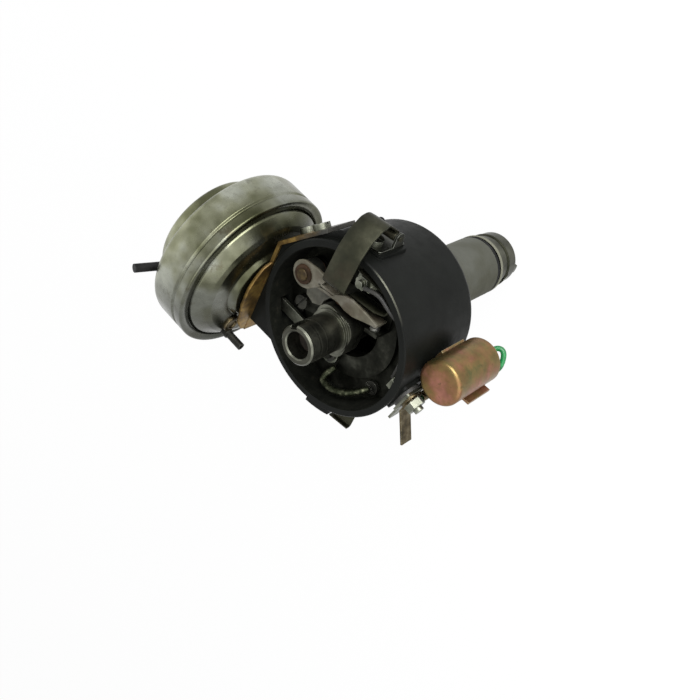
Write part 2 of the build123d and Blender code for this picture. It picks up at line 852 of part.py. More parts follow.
with BuildPart() as fixed_contact:
    with BuildSketch(contact_plane(anvil_face)):
        Circle(contact_radius)
    extrude(amount=contact_thickness)
finish(fixed_contact, "fixed_contact")

with BuildPart() as pivot_post:
    with Locations((pivot_place[0], pivot_place[1], breaker_plate_top)):
        Cylinder(
            pivot_post_radius,
            rim_z + 0.4 - breaker_plate_top,
            align=(Align.CENTER, Align.CENTER, Align.MIN),
        )
    chamfer(pivot_post.faces().sort_by(Axis.Z)[-1].edges(), 0.3)
finish(pivot_post, "pivot_post")

with BuildPart() as contact_lock_screw:
    with Locations((lock_screw_place[0], lock_screw_place[1], contact_plate_top)):
        Cylinder(3.0, 2.2, align=(Align.CENTER, Align.CENTER, Align.MIN))
        Cylinder(1.5, contact_plate_thickness, align=(Align.CENTER, Align.CENTER, Align.MAX))
    with BuildSketch(Plane.XY.offset(contact_plate_top + 2.2)):
        with Locations(Location(lock_screw_place, 70.0)):
            Rectangle(7.0, 0.8)
    extrude(amount=-0.9, mode=Mode.SUBTRACT)
finish(contact_lock_screw, "contact_lock_screw")

arm_wide = arm_half_width + 0.7
with BuildPart() as breaker_arm:
    with BuildSketch(arm_plane(arm_bottom)):
        with BuildLine():
            Polyline(
                (3.0, -arm_half_width),
                (arm_length - 3.0, -arm_half_width),
                (arm_length, -0.9),
                (arm_length, 0.9),
                (arm_length - 4.0, arm_half_width),
                (heel_place, arm_wide),
                (11.0, arm_half_width),
                (3.0, arm_half_width),
                close=True,
            )
        make_face()
    extrude(amount=arm_depth)
    with BuildSketch(arm_plane(arm_bottom)):
        with BuildLine():
            Polyline(
                (3.0, arm_sheet - arm_half_width),
                (arm_length - arm_sheet - 2.0, arm_sheet - arm_half_width),
                (arm_length - arm_sheet - 2.0, arm_half_width - 1.4 * arm_sheet),
                (arm_length - 5.0, arm_half_width - arm_sheet),
                (heel_place, arm_wide - arm_sheet),
                (11.0, arm_half_width - arm_sheet),
                (3.0, arm_half_width - arm_sheet),
                close=True,
            )
        make_face()
    extrude(amount=arm_depth - arm_sheet, mode=Mode.SUBTRACT)
    with BuildSketch(arm_plane(arm_bottom)):
        Circle(eye_radius)
    extrude(amount=arm_depth)
    with BuildSketch(arm_plane(arm_top - arm_sheet)):
        Circle(eye_radius)
        with Locations((9.5, 0)):
            Circle(1.0)
        make_hull()
    extrude(amount=arm_sheet)
    with BuildSketch(arm_plane(arm_bottom)):
        Circle(arm_bush_radius)
    extrude(amount=arm_depth, mode=Mode.SUBTRACT)
finish(breaker_arm, "breaker_arm")

bush_bottom = contact_plate_top + 0.2
with BuildPart() as arm_bush:
    with BuildSketch(arm_plane(bush_bottom)):
        Circle(arm_bush_radius)
        Circle(pivot_post_radius + running_clearance, mode=Mode.SUBTRACT)
    extrude(amount=rim_z - 0.2 - bush_bottom)
finish(arm_bush, "arm_bush")

with BuildPart() as rubbing_block:
    with BuildSketch(arm_plane(arm_bottom + 0.5)) as heel_outline:
        with BuildLine():
            Polyline(
                (heel_place - heel_length / 2, -arm_half_width),
                (heel_place + heel_length / 2, -arm_half_width),
                (heel_place + heel_length / 4, -arm_half_width - heel_depth),
                (heel_place - heel_length / 4, -arm_half_width - heel_depth),
                close=True,
            )
        make_face()
    extrude(amount=arm_depth - 2.0)
finish(rubbing_block, "rubbing_block")

with BuildPart() as moving_contact:
    with BuildSketch(contact_plane(-arm_half_width)):
        Circle(contact_radius)
    extrude(amount=-contact_thickness)
finish(moving_contact, "moving_contact")

anchor_top = arm_top - 3.5
with BuildPart() as spring_anchor:
    with BuildSketch(Plane.XY.offset(breaker_plate_top)):
        with Locations(anchor_place):
            RectangleRounded(anchor_size[0], anchor_size[1], 0.6)
    extrude(amount=anchor_top - breaker_plate_top)
finish(spring_anchor, "spring_anchor")

with BuildPart() as anchor_screw:
    with BuildSketch(Plane.XY.offset(anchor_top)):
        with Locations(anchor_place):
            RegularPolygon(terminal_screw_radius, 6)
    extrude(amount=2.2)
    with Locations((anchor_place[0], anchor_place[1], anchor_top + 2.2)):
        Cylinder(1.6, 1.7, align=(Align.CENTER, Align.CENTER, Align.MIN))
finish(anchor_screw, "anchor_screw")


def sheet_outline(points, sheet):
    """Closed outline of a bent sheet: the given side, then its left side one sheet away."""
    normals = []
    for (x0, y0), (x1, y1) in zip(points, points[1:]):
        length = sqrt((x1 - x0) ** 2 + (y1 - y0) ** 2)
        normals.append(((y0 - y1) / length, (x1 - x0) / length))
    far_side = []
    for index, (x, y) in enumerate(points):
        before = normals[max(index - 1, 0)]
        after = normals[min(index, len(normals) - 1)]
        share = 1.0 + before[0] * after[0] + before[1] * after[1]
        shift_x = sheet * (before[0] + after[0]) / share
        shift_y = sheet * (before[1] + after[1]) / share
        far_side.append((x + shift_x, y + shift_y))
    return list(points) + far_side[::-1]


leaf_z = arm_bottom + 0.8
leaf_reach = anchor_place[1] + anchor_size[1] / 2 + leaf_thickness
leaf_path = (
    on_arm(22.0, arm_wide),
    on_arm(arm_length - 4.0, arm_half_width + 0.2),
    on_arm(arm_length - 1.5, arm_half_width + 0.8),
    (15.6, 21.6),
    (16.0, 24.6),
    (14.2, 27.4),
    (11.0, leaf_reach),
    (anchor_place[0] - anchor_size[0] / 2, leaf_reach),
)
with BuildPart() as arm_spring:
    with BuildSketch(Plane.XY.offset(leaf_z)):
        with BuildLine():
            Polyline(*sheet_outline(leaf_path, leaf_thickness), close=True)
        make_face()
    extrude(amount=leaf_height)
finish(arm_spring, "arm_spring")

# ------------------------------------------------------------------ terminal on the wall
insulator_outer = pad_reach + 1.5
inner_flange = mouth_inner_radius - 0.6
with BuildPart() as terminal_insulator:
    with BuildSketch(wall_plane(terminal_angle, inner_flange - 1.2, terminal_z)):
        Circle(insulator_radius)
    extrude(amount=insulator_outer - inner_flange + 1.2)
    with BuildSketch(wall_plane(terminal_angle, pad_reach, terminal_z)):
        Circle(insulator_flange)
    extrude(amount=insulator_outer - pad_reach)
    with BuildSketch(wall_plane(terminal_angle, inner_flange - 1.2, terminal_z)):
        Circle(insulator_radius + 0.2)
    extrude(amount=1.2)
    with BuildSketch(wall_plane(terminal_angle, inner_flange - 2.0, terminal_z)):
        Circle(terminal_bolt_radius)
    extrude(amount=insulator_outer - inner_flange + 3.0, mode=Mode.SUBTRACT)
finish(terminal_insulator, "terminal_insulator")

terminal_plate_thickness = 1.0
lug_reach = insulator_outer + terminal_plate_thickness
spade_reach = lug_reach + spade_thickness
nut_reach = spade_reach + spade_thickness
with BuildPart() as terminal_bolt:
    with BuildSketch(wall_plane(terminal_angle, inner_flange - 3.4, terminal_z)):
        RegularPolygon(nut_across / 2, 6, major_radius=False)
    extrude(amount=2.2)
    with BuildSketch(wall_plane(terminal_angle, inner_flange - 1.2, terminal_z)):
        Circle(terminal_bolt_radius)
    extrude(amount=nut_reach + nut_height + 1.6 - inner_flange + 1.2)
finish(terminal_bolt, "terminal_bolt")

with BuildPart() as terminal_plate:
    with BuildSketch(wall_plane(terminal_angle, insulator_outer, terminal_z)):
        RectangleRounded(11.0, 11.0, 1.0)
        with Locations((-9.0, -1.0)):
            RectangleRounded(plate_tail_size[0], plate_tail_size[1], 1.0)
        Circle(terminal_bolt_radius, mode=Mode.SUBTRACT)
    extrude(amount=terminal_plate_thickness)
finish(terminal_plate, "terminal_plate")

lead_barrel_z = terminal_z - barrel_below_terminal
barrel_reach = lug_reach + spade_thickness + condenser_lead_radius + 0.15
with BuildPart() as lead_lug:
    with BuildSketch(wall_plane(terminal_angle, lug_reach, terminal_z)):
        Circle(lug_ring_radius)
        with Locations((0, -lug_neck_size[1] / 2 - 2.0)):
            Rectangle(lug_neck_size[0], lug_neck_size[1])
        Circle(terminal_bolt_radius, mode=Mode.SUBTRACT)
    extrude(amount=spade_thickness)
    with BuildSketch(Plane.XY.offset(lead_barrel_z)):
        with Locations(polar(barrel_reach, terminal_angle)[:2]):
            Circle(condenser_lead_radius + 0.5)
            Circle(condenser_lead_radius, mode=Mode.SUBTRACT)
    extrude(amount=4.6)
finish(lead_lug, "lead_lug")

spade_path = (
    (3.6, spade_reach),
    (-5.4, spade_reach),
    (-5.4 - 0.75 * spade_length, spade_reach + 0.66 * spade_length),
)
with BuildPart() as spade_blade:
    with BuildSketch(Plane.XY.offset(terminal_z - spade_width / 2)) as spade_outline:
        with BuildLine():
            spade_points = []
            for across, reach in sheet_outline(spade_path, -spade_thickness):
                outward = polar(reach, terminal_angle)
                aside = polar(across, terminal_angle + 90.0)
                spade_points.append((outward[0] + aside[0], outward[1] + aside[1]))
            Polyline(*spade_points, close=True)
        make_face()
    extrude(amount=spade_width)
    with BuildSketch(wall_plane(terminal_angle, spade_reach, terminal_z)):
        Circle(terminal_bolt_radius)
    extrude(amount=spade_thickness, mode=Mode.SUBTRACT)
finish(spade_blade, "spade_blade")

with BuildPart() as terminal_nut:
    with BuildSketch(wall_plane(terminal_angle, nut_reach, terminal_z)):
        RegularPolygon(nut_across / 2, 6, major_radius=False)
        Circle(terminal_bolt_radius, mode=Mode.SUBTRACT)
    extrude(amount=nut_height)
finish(terminal_nut, "terminal_nut")

inner_lead_radius = 0.9
inner_lead_z = breaker_plate_top + 4.0
with BuildPart() as primary_lead:
    with BuildLine() as primary_path:
        FilletPolyline(
            (anchor_place[0] + 1.6 + inner_lead_radius, anchor_place[1], anchor_top + 3.1),
            (9.0, 28.6, anchor_top + 3.1),
            polar(30.8, 58.0, anchor_top + 3.1),
            polar(31.0, 46.0, anchor_top - 0.5),
            polar(31.0, 32.0, anchor_top - 2.0),
            polar(29.4, 12.0, terminal_z + 2.8),
            polar(inner_flange - 3.4 - inner_lead_radius, terminal_angle, terminal_z),
            radius=1.4,
        )
    with BuildSketch(Plane(origin=primary_path.line @ 0, z_dir=primary_path.line % 0)):
        Circle(inner_lead_radius)
    sweep()
finish(primary_lead, "primary_lead")

braid_radius = 1.3
with BuildPart() as earth_braid:
    with BuildLine() as braid_path:
        FilletPolyline(
            polar(lug_screw_circle, lug_screw_angles[1], base_plate_top + lug_screw_head_height + braid_radius),
            polar(28.6, -50.0, rim_z - 6.5),
            polar(28.6, -62.0, rim_z - 4.8),
            polar(28.6, -74.0, rim_z - 4.6),
            polar(27.6, -84.0, rim_z - 6.0),
            polar(21.9, -77.0, breaker_plate_top + braid_radius + 0.1),
            radius=1.8,
        )
    with BuildSketch(Plane(origin=braid_path.line @ 0, z_dir=braid_path.line % 0)):
        Circle(braid_radius)
    sweep()
finish(earth_braid, "earth_braid")

# ------------------------------------------------------------------ condenser
can_reach = wall_radius(can_top) + can_gap + can_radius
can_place = polar(can_reach, can_angle)
can_sheet = 0.6
with BuildPart() as condenser_can:
    with Locations((can_place[0], can_place[1], can_bottom)):
        Cylinder(can_radius, can_length, align=(Align.CENTER, Align.CENTER, Align.MIN))
    fillet(condenser_can.faces().sort_by(Axis.Z)[-1].edges(), can_edge)
    with Locations((can_place[0], can_place[1], can_bottom)):
        Cylinder(
            can_radius - can_sheet,
            can_length - can_edge - can_sheet,
            align=(Align.CENTER, Align.CENTER, Align.MIN),
            mode=Mode.SUBTRACT,
        )
finish(condenser_can, "condenser_can")

with BuildPart() as condenser_end_cap:
    with Locations((can_place[0], can_place[1], can_bottom + 0.5)):
        Cylinder(can_radius - can_sheet, 2.0, align=(Align.CENTER, Align.CENTER, Align.MIN))
        Cylinder(
            condenser_lead_radius,
            2.0,
            align=(Align.CENTER, Align.CENTER, Align.MIN),
            mode=Mode.SUBTRACT,
        )
finish(condenser_end_cap, "condenser_end_cap")

can_turn = radians(can_angle - condenser_screw_angle)
can_across = can_reach * sin(can_turn)
can_depth = can_reach * cos(can_turn)
saddle_plane = Plane(
    origin=(0, 0, condenser_screw_z - saddle_height / 2),
    x_dir=polar(1.0, condenser_screw_angle + 90.0),
    z_dir=(0, 0, -1),
)
saddle_start = 118.0
saddle_wrap = 166.0
saddle_corner = can_radius / cos(radians(saddle_wrap / 32))
with BuildPart() as condenser_saddle:
    with BuildSketch(saddle_plane):
        with BuildLine():
            arc_points = []
            for share in range(17):
                turn = radians(saddle_start + saddle_wrap * share / 16)
                x = can_across + saddle_corner * cos(turn)
                y = can_depth + saddle_corner * sin(turn)
                arc_points.append((x, y))
            flare = (arc_points[0][0] + 0.6, arc_points[0][1] + 3.2)
            Polyline(*sheet_outline([flare] + arc_points, -saddle_sheet), close=True)
        make_face()
    extrude(amount=-saddle_height)
    with BuildSketch(saddle_plane):
        with BuildLine():
            foot_root = can_across - sqrt(can_radius**2 - (can_depth - pad_reach - saddle_sheet) ** 2)
            Polyline(
                (-6.5, pad_reach),
                (-6.5, pad_reach + saddle_sheet),
                (foot_root, pad_reach + saddle_sheet),
                (foot_root + 0.4, pad_reach),
                close=True,
            )
        make_face()
    extrude(amount=-saddle_height)
    with BuildSketch(wall_plane(condenser_screw_angle, pad_reach, condenser_screw_z)):
        Circle(clip_screw_radius)
    extrude(amount=saddle_sheet, mode=Mode.SUBTRACT)
finish(condenser_saddle, "condenser_saddle")

with BuildPart() as condenser_screw:
    with BuildSketch(wall_plane(condenser_screw_angle, lower_wall_radius + 1.2, condenser_screw_z)):
        Circle(clip_screw_radius)
    extrude(amount=pad_reach + saddle_sheet - lower_wall_radius - 1.2)
    with BuildSketch(wall_plane(condenser_screw_angle, pad_reach + saddle_sheet, condenser_screw_z)):
        Circle(clip_screw_head_radius)
    extrude(amount=clip_screw_head_height)
    head_reach = pad_reach + saddle_sheet + clip_screw_head_height
    with BuildSketch(wall_plane(condenser_screw_angle, head_reach, condenser_screw_z)):
        Rectangle(2 * clip_screw_head_radius, 0.9)
    extrude(amount=-0.9, mode=Mode.SUBTRACT)
finish(condenser_screw, "condenser_screw")

lead_end = polar(barrel_reach, terminal_angle, lead_barrel_z + 3.0)
with BuildPart() as condenser_lead:
    with BuildLine() as lead_path:
        FilletPolyline(
            (can_place[0], can_place[1], can_bottom + 2.0),
            (can_place[0], can_place[1], 9.0),
            (45.0, 14.6, 5.4),
            (48.6, 15.4, 4.6),
            (51.6, 10.0, 6.4),
            (50.0, 3.8, 5.0),
            (46.0, -1.4, 8.4),
            (42.6, -4.6, 15.0),
            (42.2, -5.8, 25.0),
            (lead_end[0], lead_end[1], lead_barrel_z - 1.5),
            lead_end,
            radius=1.3,
        )
    with BuildSketch(Plane(origin=lead_path.line @ 0, z_dir=lead_path.line % 0)):
        Circle(condenser_lead_radius)
    sweep()
finish(condenser_lead, "condenser_lead")

# ------------------------------------------------------------------ vacuum unit
rim_face = crimp_front + cup_sheet
diaphragm_front = rim_face + cup_sheet
diaphragm_back = diaphragm_front + diaphragm_sheet
bracket_back = flange_distance + bracket_sheet
neck_radius = 9.0
neck_bore = 4.6
with BuildPart() as vacuum_front_cup:
    front_points = [
        (front_boss_face, neck_bore),
        (front_boss_face, front_boss_radius),
        *front_cup_profile,
        (rim_face, 34.1),
        (rim_face, drum_radius - cup_sheet - 0.1),
    ]
    with BuildSketch(unit_plane):
        with BuildLine():
            Polyline(*sheet_outline(front_points, -cup_sheet), close=True)
        make_face()
        with BuildLine():
            Polyline(
                (bracket_back, neck_bore),
                (front_boss_face + cup_sheet / 2, neck_bore),
                (front_boss_face + cup_sheet / 2, neck_radius),
                (bracket_back, neck_radius),
                close=True,
            )
        make_face()
    revolve(axis=unit_axis)
    with BuildSketch(Plane(origin=plug_place, x_dir=(0, 1, 0), z_dir=(-1, 0, 0))):
        Circle(plug_radius)
    extrude(amount=1.4)
    with BuildSketch(Plane(origin=plug_place, x_dir=(0, 1, 0), z_dir=(-1, 0, 0))):
        Circle(1.2)
    extrude(amount=2.0, mode=Mode.SUBTRACT)
finish(vacuum_front_cup, "vacuum_front_cup")

bead_front = diaphragm_back + 1.2
with BuildPart() as vacuum_rear_cup:
    rear_points = [
        (crimp_front, crimp_inner_radius),
        (crimp_front, drum_radius - 0.5),
        (crimp_front + 0.5, drum_radius),
        (bead_front, drum_radius),
        (bead_front + 0.4, drum_radius - 0.5),
        (bead_front + 0.8, drum_radius - 0.5),
        (bead_front + 1.2, drum_radius),
        (drum_back - 0.6, drum_radius),
        (drum_back + 1.2, drum_radius - 1.0),
        *rear_cup_profile,
        (rear_boss_back, rear_boss_radius),
        (rear_boss_back, 0),
    ]
    with BuildSketch(unit_plane):
        with BuildLine():
            Polyline(*sheet_outline(rear_points, -cup_sheet), close=True)
        make_face()
        with BuildLine():
            Polyline(
                (diaphragm_back, drum_radius - cup_sheet - 0.9),
                (diaphragm_back, drum_radius - cup_sheet + 0.2),
                (diaphragm_back + 1.2, drum_radius - cup_sheet + 0.2),
                (diaphragm_back + 1.2, drum_radius - cup_sheet - 0.9),
                close=True,
            )
        make_face()
    revolve(axis=unit_axis)
finish(vacuum_rear_cup, "vacuum_rear_cup")

plate_radius = 15.0
plate_sheet = 0.8
with BuildPart() as diaphragm:
    with BuildSketch(unit_plane):
        with BuildLine():
            Polyline(
                (diaphragm_front, 2.6),
                (diaphragm_front, drum_radius - cup_sheet - 0.1),
                (diaphragm_back, drum_radius - cup_sheet - 0.1),
                (diaphragm_back, 2.6),
                close=True,
            )
        make_face()
    revolve(axis=unit_axis)
finish(diaphragm, "diaphragm")

rod_end = diaphragm_front - plate_sheet
with BuildPart() as pull_rod:
    with BuildSketch(Plane.XY.offset(unit_axis_z - rod_thickness / 2)):
        with Locations((-rod_end / 2, unit_axis_y)):
            Rectangle(rod_end, rod_width)
        with Locations((0, unit_axis_y)):
            Circle(rod_eye_radius)
            Circle(rod_pin_radius + rod_eye_clearance, mode=Mode.SUBTRACT)
    extrude(amount=rod_thickness)
finish(pull_rod, "pull_rod")

with BuildPart() as diaphragm_plates:
    with BuildSketch(unit_plane):
        with BuildLine():
            Polyline(
                (rod_end, 0),
                (rod_end, plate_radius),
                (diaphragm_front, plate_radius),
                (diaphragm_front, 2.6),
                (diaphragm_back, 2.6),
                (diaphragm_back, plate_radius),
                (diaphragm_back + plate_sheet, plate_radius),
                (diaphragm_back + plate_sheet, 0),
                close=True,
            )
        make_face()
    revolve(axis=unit_axis)
finish(diaphragm_plates, "diaphragm_plates")

rod_clip_z = unit_axis_z + rod_thickness / 2 + 0.2
with BuildPart() as rod_clip:
    with BuildSketch(Plane.XY.offset(rod_clip_z)):
        with Locations((0, unit_axis_y)):
            Circle(rod_pin_radius + 1.5)
            Circle(rod_pin_radius, mode=Mode.SUBTRACT)
        with Locations((0, unit_axis_y - rod_pin_radius)):
            Rectangle(2.0, 3.4, mode=Mode.SUBTRACT)
    extrude(amount=0.7)
finish(rod_clip, "rod_clip")

spring_front = diaphragm_back + plate_sheet + return_wire
spring_back = rear_boss_back - cup_sheet - return_wire
with BuildPart() as return_spring:
    coil = Helix(
        pitch=(spring_back - spring_front) / return_turns,
        height=spring_back - spring_front,
        radius=return_coil_radius,
        center=(-spring_front, unit_axis_y, unit_axis_z),
        direction=(-1, 0, 0),
    )
    with BuildSketch(Plane(origin=coil @ 0, z_dir=coil % 0)):
        RegularPolygon(return_wire, 6)
    sweep(path=coil, is_frenet=True)
finish(return_spring, "return_spring")

bracket_low = (-flange_distance, bracket_low_y)
bracket_far = (
    flange_bend[0] + bracket_along * flange_lean[0] / flange_side_length,
    flange_bend[1] + bracket_along * flange_lean[1] / flange_side_length,
)
with BuildPart() as vacuum_bracket:
    with BuildSketch(Plane.XY.offset(bracket_bottom)):
        with BuildLine():
            Polyline(*sheet_outline([bracket_low, flange_bend, bracket_far], bracket_sheet), close=True)
        make_face()
    extrude(amount=bracket_height)
    with BuildSketch(Plane.YZ.offset(-flange_distance)):
        with Locations((unit_axis_y, unit_axis_z)):
            Circle(neck_bore)
    extrude(amount=-bracket_sheet, mode=Mode.SUBTRACT)
    for along, height in bracket_screw_places:
        with BuildSketch(flange_side_plane(along, height)):
            Circle(bracket_screw_radius)
        extrude(amount=bracket_sheet, mode=Mode.SUBTRACT)
finish(vacuum_bracket, "vacuum_bracket")

with BuildPart() as bracket_screws:
    for along, height in bracket_screw_places:
        face_plane = flange_side_plane(along, height)
        with BuildSketch(face_plane.offset(-3.5)):
            Circle(bracket_screw_radius)
        extrude(amount=3.5 + bracket_sheet)
        with BuildSketch(face_plane.offset(bracket_sheet)):
            Circle(bracket_screw_head_radius)
        extrude(amount=bracket_screw_head_height)
        with BuildSketch(face_plane.offset(bracket_sheet + bracket_screw_head_height)):
            Rectangle(2 * bracket_screw_head_radius, 0.9)
        extrude(amount=-1.0, mode=Mode.SUBTRACT)
finish(bracket_screws, "bracket_screws")

rear_nozzle_line = Vector(rear_nozzle_tip) - Vector(rear_nozzle_root)
rear_nozzle_run = rear_nozzle_line.normalized()
with BuildPart() as rear_nozzle:
    with BuildSketch(Plane(origin=Vector(rear_nozzle_root) + rear_nozzle_run * 1.6, z_dir=rear_nozzle_run)):
        Circle(rear_nozzle_radius)
    extrude(amount=rear_nozzle_line.length - 1.6)
    fillet(rear_nozzle.edges().sort_by(Axis.Z)[-1], 0.9)
    with BuildSketch(Plane(origin=Vector(rear_nozzle_root) + rear_nozzle_run * 1.6, z_dir=rear_nozzle_run)):
        Circle(rear_nozzle_collar)
    extrude(amount=rear_nozzle_collar_end - 1.6)
    with BuildSketch(unit_plane):
        with BuildLine():
            Polyline((crimp_front, 0), *rear_points, close=True)
        make_face()
    revolve(axis=unit_axis, mode=Mode.SUBTRACT)
finish(rear_nozzle, "rear_nozzle")

front_nozzle_plane = Plane(origin=(-front_nozzle_root, front_nozzle_y, front_nozzle_z), z_dir=(1, 0, 0))
with BuildPart() as front_nozzle:
    with BuildSketch(front_nozzle_plane):
        Circle(front_nozzle_collar)
    extrude(amount=front_nozzle_root - front_nozzle_collar_end)
    with BuildSketch(front_nozzle_plane):
        Circle(front_nozzle_radius)
    extrude(amount=front_nozzle_root - front_nozzle_tip)
    with BuildSketch(front_nozzle_plane):
        Circle(front_nozzle_radius - front_nozzle_wall)
    extrude(amount=front_nozzle_root - front_nozzle_tip, mode=Mode.SUBTRACT)
    with BuildSketch(unit_plane):
        with BuildLine():
            Polyline(*front_points, (drum_back, front_points[-1][1]), (drum_back, neck_bore), close=True)
        make_face()
    revolve(axis=unit_axis, mode=Mode.SUBTRACT)
finish(front_nozzle, "front_nozzle")

# ------------------------------------------------------------------ spring clips
loop_radius = hinge_pin_radius + hinge_bore_clearance + clip_sheet
for name, angle, lean in (
    ("upper_clip", clip_angles[0], clip_leans[0]),
    ("lower_clip", clip_angles[1], clip_leans[1]),
):
    leaned = []
    for run, rise in clip_shape:
        turned_run = run * cos(radians(lean)) - rise * sin(radians(lean))
        turned_rise = run * sin(radians(lean)) + rise * cos(radians(lean))
        leaned.append((hinge_reach + turned_run, hinge_z + turned_rise))
    with BuildPart() as clip:
        with BuildSketch(radial_plane(angle)):
            with BuildLine():
                Polyline(*sheet_outline(leaned, -clip_sheet), close=True)
            make_face()
            with Locations((hinge_reach, hinge_z)):
                Circle(loop_radius)
                Circle(hinge_pin_radius + hinge_bore_clearance, mode=Mode.SUBTRACT)
        extrude(amount=clip_width / 2, both=True)
    finish(clip, name)

ear_gap = clip_width / 2 + 0.6
ear_radius = hinge_pin_radius + 1.4
with BuildPart() as clip_brackets:
    for angle in clip_angles:
        with BuildSketch(wall_plane(angle, pad_reach, screw_pad_z)):
            RectangleRounded(2 * ear_gap + 2 * ear_sheet, screw_pad_size[1] - 2.0, 1.0)
            with Locations((0, clip_screw_z - screw_pad_z)):
                Circle(clip_screw_radius, mode=Mode.SUBTRACT)
        extrude(amount=ear_sheet)
        for side in (1, -1):
            with BuildSketch(radial_plane(angle).offset(side * (ear_gap + ear_sheet / 2))):
                with BuildLine():
                    Polyline(
                        (pad_reach, hinge_z - 3.0),
                        (pad_reach, hinge_z + 3.0),
                        (hinge_reach, hinge_z + ear_radius),
                        (hinge_reach, hinge_z - ear_radius),
                        close=True,
                    )
                make_face()
                with Locations((hinge_reach, hinge_z)):
                    Circle(ear_radius)
                    Circle(hinge_pin_radius, mode=Mode.SUBTRACT)
            extrude(amount=ear_sheet / 2, both=True)
finish(clip_brackets, "clip_brackets")

with BuildPart() as clip_pins:
    for angle in clip_angles:
        with BuildSketch(radial_plane(angle)):
            with Locations((hinge_reach, hinge_z)):
                Circle(hinge_pin_radius)
        extrude(amount=ear_gap + ear_sheet + 0.4, both=True)
finish(clip_pins, "clip_pins")

with BuildPart() as clip_screws:
    for angle in clip_angles:
        with BuildSketch(wall_plane(angle, mouth_inner_radius + 0.6, clip_screw_z)):
            Circle(clip_screw_radius)
        extrude(amount=pad_reach + ear_sheet - mouth_inner_radius - 0.6)
        with BuildSketch(wall_plane(angle, pad_reach + ear_sheet, clip_screw_z)):
            Circle(clip_screw_head_radius)
        extrude(amount=clip_screw_head_height)
        with BuildSketch(wall_plane(angle, pad_reach + ear_sheet + clip_screw_head_height, clip_screw_z)):
            Rectangle(2 * clip_screw_head_radius, 0.9)
        extrude(amount=-0.9, mode=Mode.SUBTRACT)
finish(clip_screws, "clip_screws")
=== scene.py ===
"""Looks of the ignition distributor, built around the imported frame.  Metres throughout."""
import json
import math

import bmesh
import bpy
from mathutils import Matrix, Vector


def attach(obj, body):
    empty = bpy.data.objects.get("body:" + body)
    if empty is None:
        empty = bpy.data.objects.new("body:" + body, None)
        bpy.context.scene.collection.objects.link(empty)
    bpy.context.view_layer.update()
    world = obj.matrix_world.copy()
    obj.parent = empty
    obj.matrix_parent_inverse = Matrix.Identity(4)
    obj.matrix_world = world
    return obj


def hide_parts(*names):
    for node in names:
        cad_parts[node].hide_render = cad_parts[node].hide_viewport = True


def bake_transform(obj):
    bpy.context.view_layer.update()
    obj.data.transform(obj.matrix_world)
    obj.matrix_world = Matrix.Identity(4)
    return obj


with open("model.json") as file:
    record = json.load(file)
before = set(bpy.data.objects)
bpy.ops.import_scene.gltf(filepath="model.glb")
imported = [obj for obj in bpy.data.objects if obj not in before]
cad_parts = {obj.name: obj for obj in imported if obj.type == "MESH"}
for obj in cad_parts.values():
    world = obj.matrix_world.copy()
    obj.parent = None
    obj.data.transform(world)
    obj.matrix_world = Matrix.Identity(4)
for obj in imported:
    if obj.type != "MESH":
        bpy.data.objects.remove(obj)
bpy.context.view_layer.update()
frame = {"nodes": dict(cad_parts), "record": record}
nodes = frame["nodes"]
scene = bpy.context.scene
MM = 0.001


def in_metres(place):
    """A place given in millimetres, in metres."""
    return tuple(value * MM for value in place)


def link_object(name, data):
    """New object around a mesh, curve, camera or light, put into the scene."""
    made = bpy.data.objects.new(name, data)
    scene.collection.objects.link(made)
    return made


# ------------------------------------------------------------------ small node helpers
def new_material(name):
    """New material, with its node tree and its Principled shader."""
    material = bpy.data.materials.new(name)
    material.use_nodes = True
    tree = material.node_tree
    return material, tree, tree.nodes["Principled BSDF"]


def place_of(tree):
    """Object coordinates: the row frame, in metres, on every piece whose object is at the origin."""
    return tree.nodes.new("ShaderNodeTexCoord").outputs["Object"]


def place_parts(tree):
    """The X, Y and Z of the object coordinates, as three sockets."""
    split = tree.nodes.new("ShaderNodeSeparateXYZ")
    tree.links.new(place_of(tree), split.inputs[0])
    return split.outputs


def combine(tree, value):
    """Vector whose three parts are one value: noise along a single axis."""
    node = tree.nodes.new("ShaderNodeCombineXYZ")
    for index in range(3):
        tree.links.new(value, node.inputs[index])
    return node.outputs[0]


def noise(tree, scale, detail=3.0, rough=0.55, vector=None):
    """Noise value at a scale in cycles per metre."""
    node = tree.nodes.new("ShaderNodeTexNoise")
    node.inputs["Scale"].default_value = scale
    node.inputs["Detail"].default_value = detail
    node.inputs["Roughness"].default_value = rough
    tree.links.new(vector or place_of(tree), node.inputs["Vector"])
    return node.outputs["Fac"]


def ramp(tree, value, stops):
    """Colour ramp: stops are (position, colour) with colours as (r, g, b)."""
    node = tree.nodes.new("ShaderNodeValToRGB")
    elements = node.color_ramp.elements
    while len(elements) < len(stops):
        elements.new(0.5)
    for element, (position, colour) in zip(elements, stops):
        element.position = position
        element.color = (colour[0], colour[1], colour[2], 1.0)
    tree.links.new(value, node.inputs["Fac"])
    return node.outputs["Color"]


def band(tree, value, low, high, to_low=0.0, to_high=1.0):
    """Clamped map of a value from low..high to to_low..to_high."""
    node = tree.nodes.new("ShaderNodeMapRange")
    node.inputs["From Min"].default_value = low
    node.inputs["From Max"].default_value = high
    node.inputs["To Min"].default_value = to_low
    node.inputs["To Max"].default_value = to_high
    tree.links.new(value, node.inputs["Value"])
    return node.outputs["Result"]


# A Mix node set to colours takes them on these inputs, and gives the result on this output.
COLOUR_INPUTS = (6, 7)
COLOUR_OUTPUT = 2


def mix(tree, share, first, second):
    """Colour mix: a share of 0 gives the first, 1 the second.  Colours are sockets or (r, g, b)."""
    node = tree.nodes.new("ShaderNodeMix")
    node.data_type = "RGBA"
    for index, value in zip(COLOUR_INPUTS, (first, second)):
        if isinstance(value, tuple):
            node.inputs[index].default_value = (value[0], value[1], value[2], 1.0)
        else:
            tree.links.new(value, node.inputs[index])
    tree.links.new(share, node.inputs[0])
    return node.outputs[COLOUR_OUTPUT]


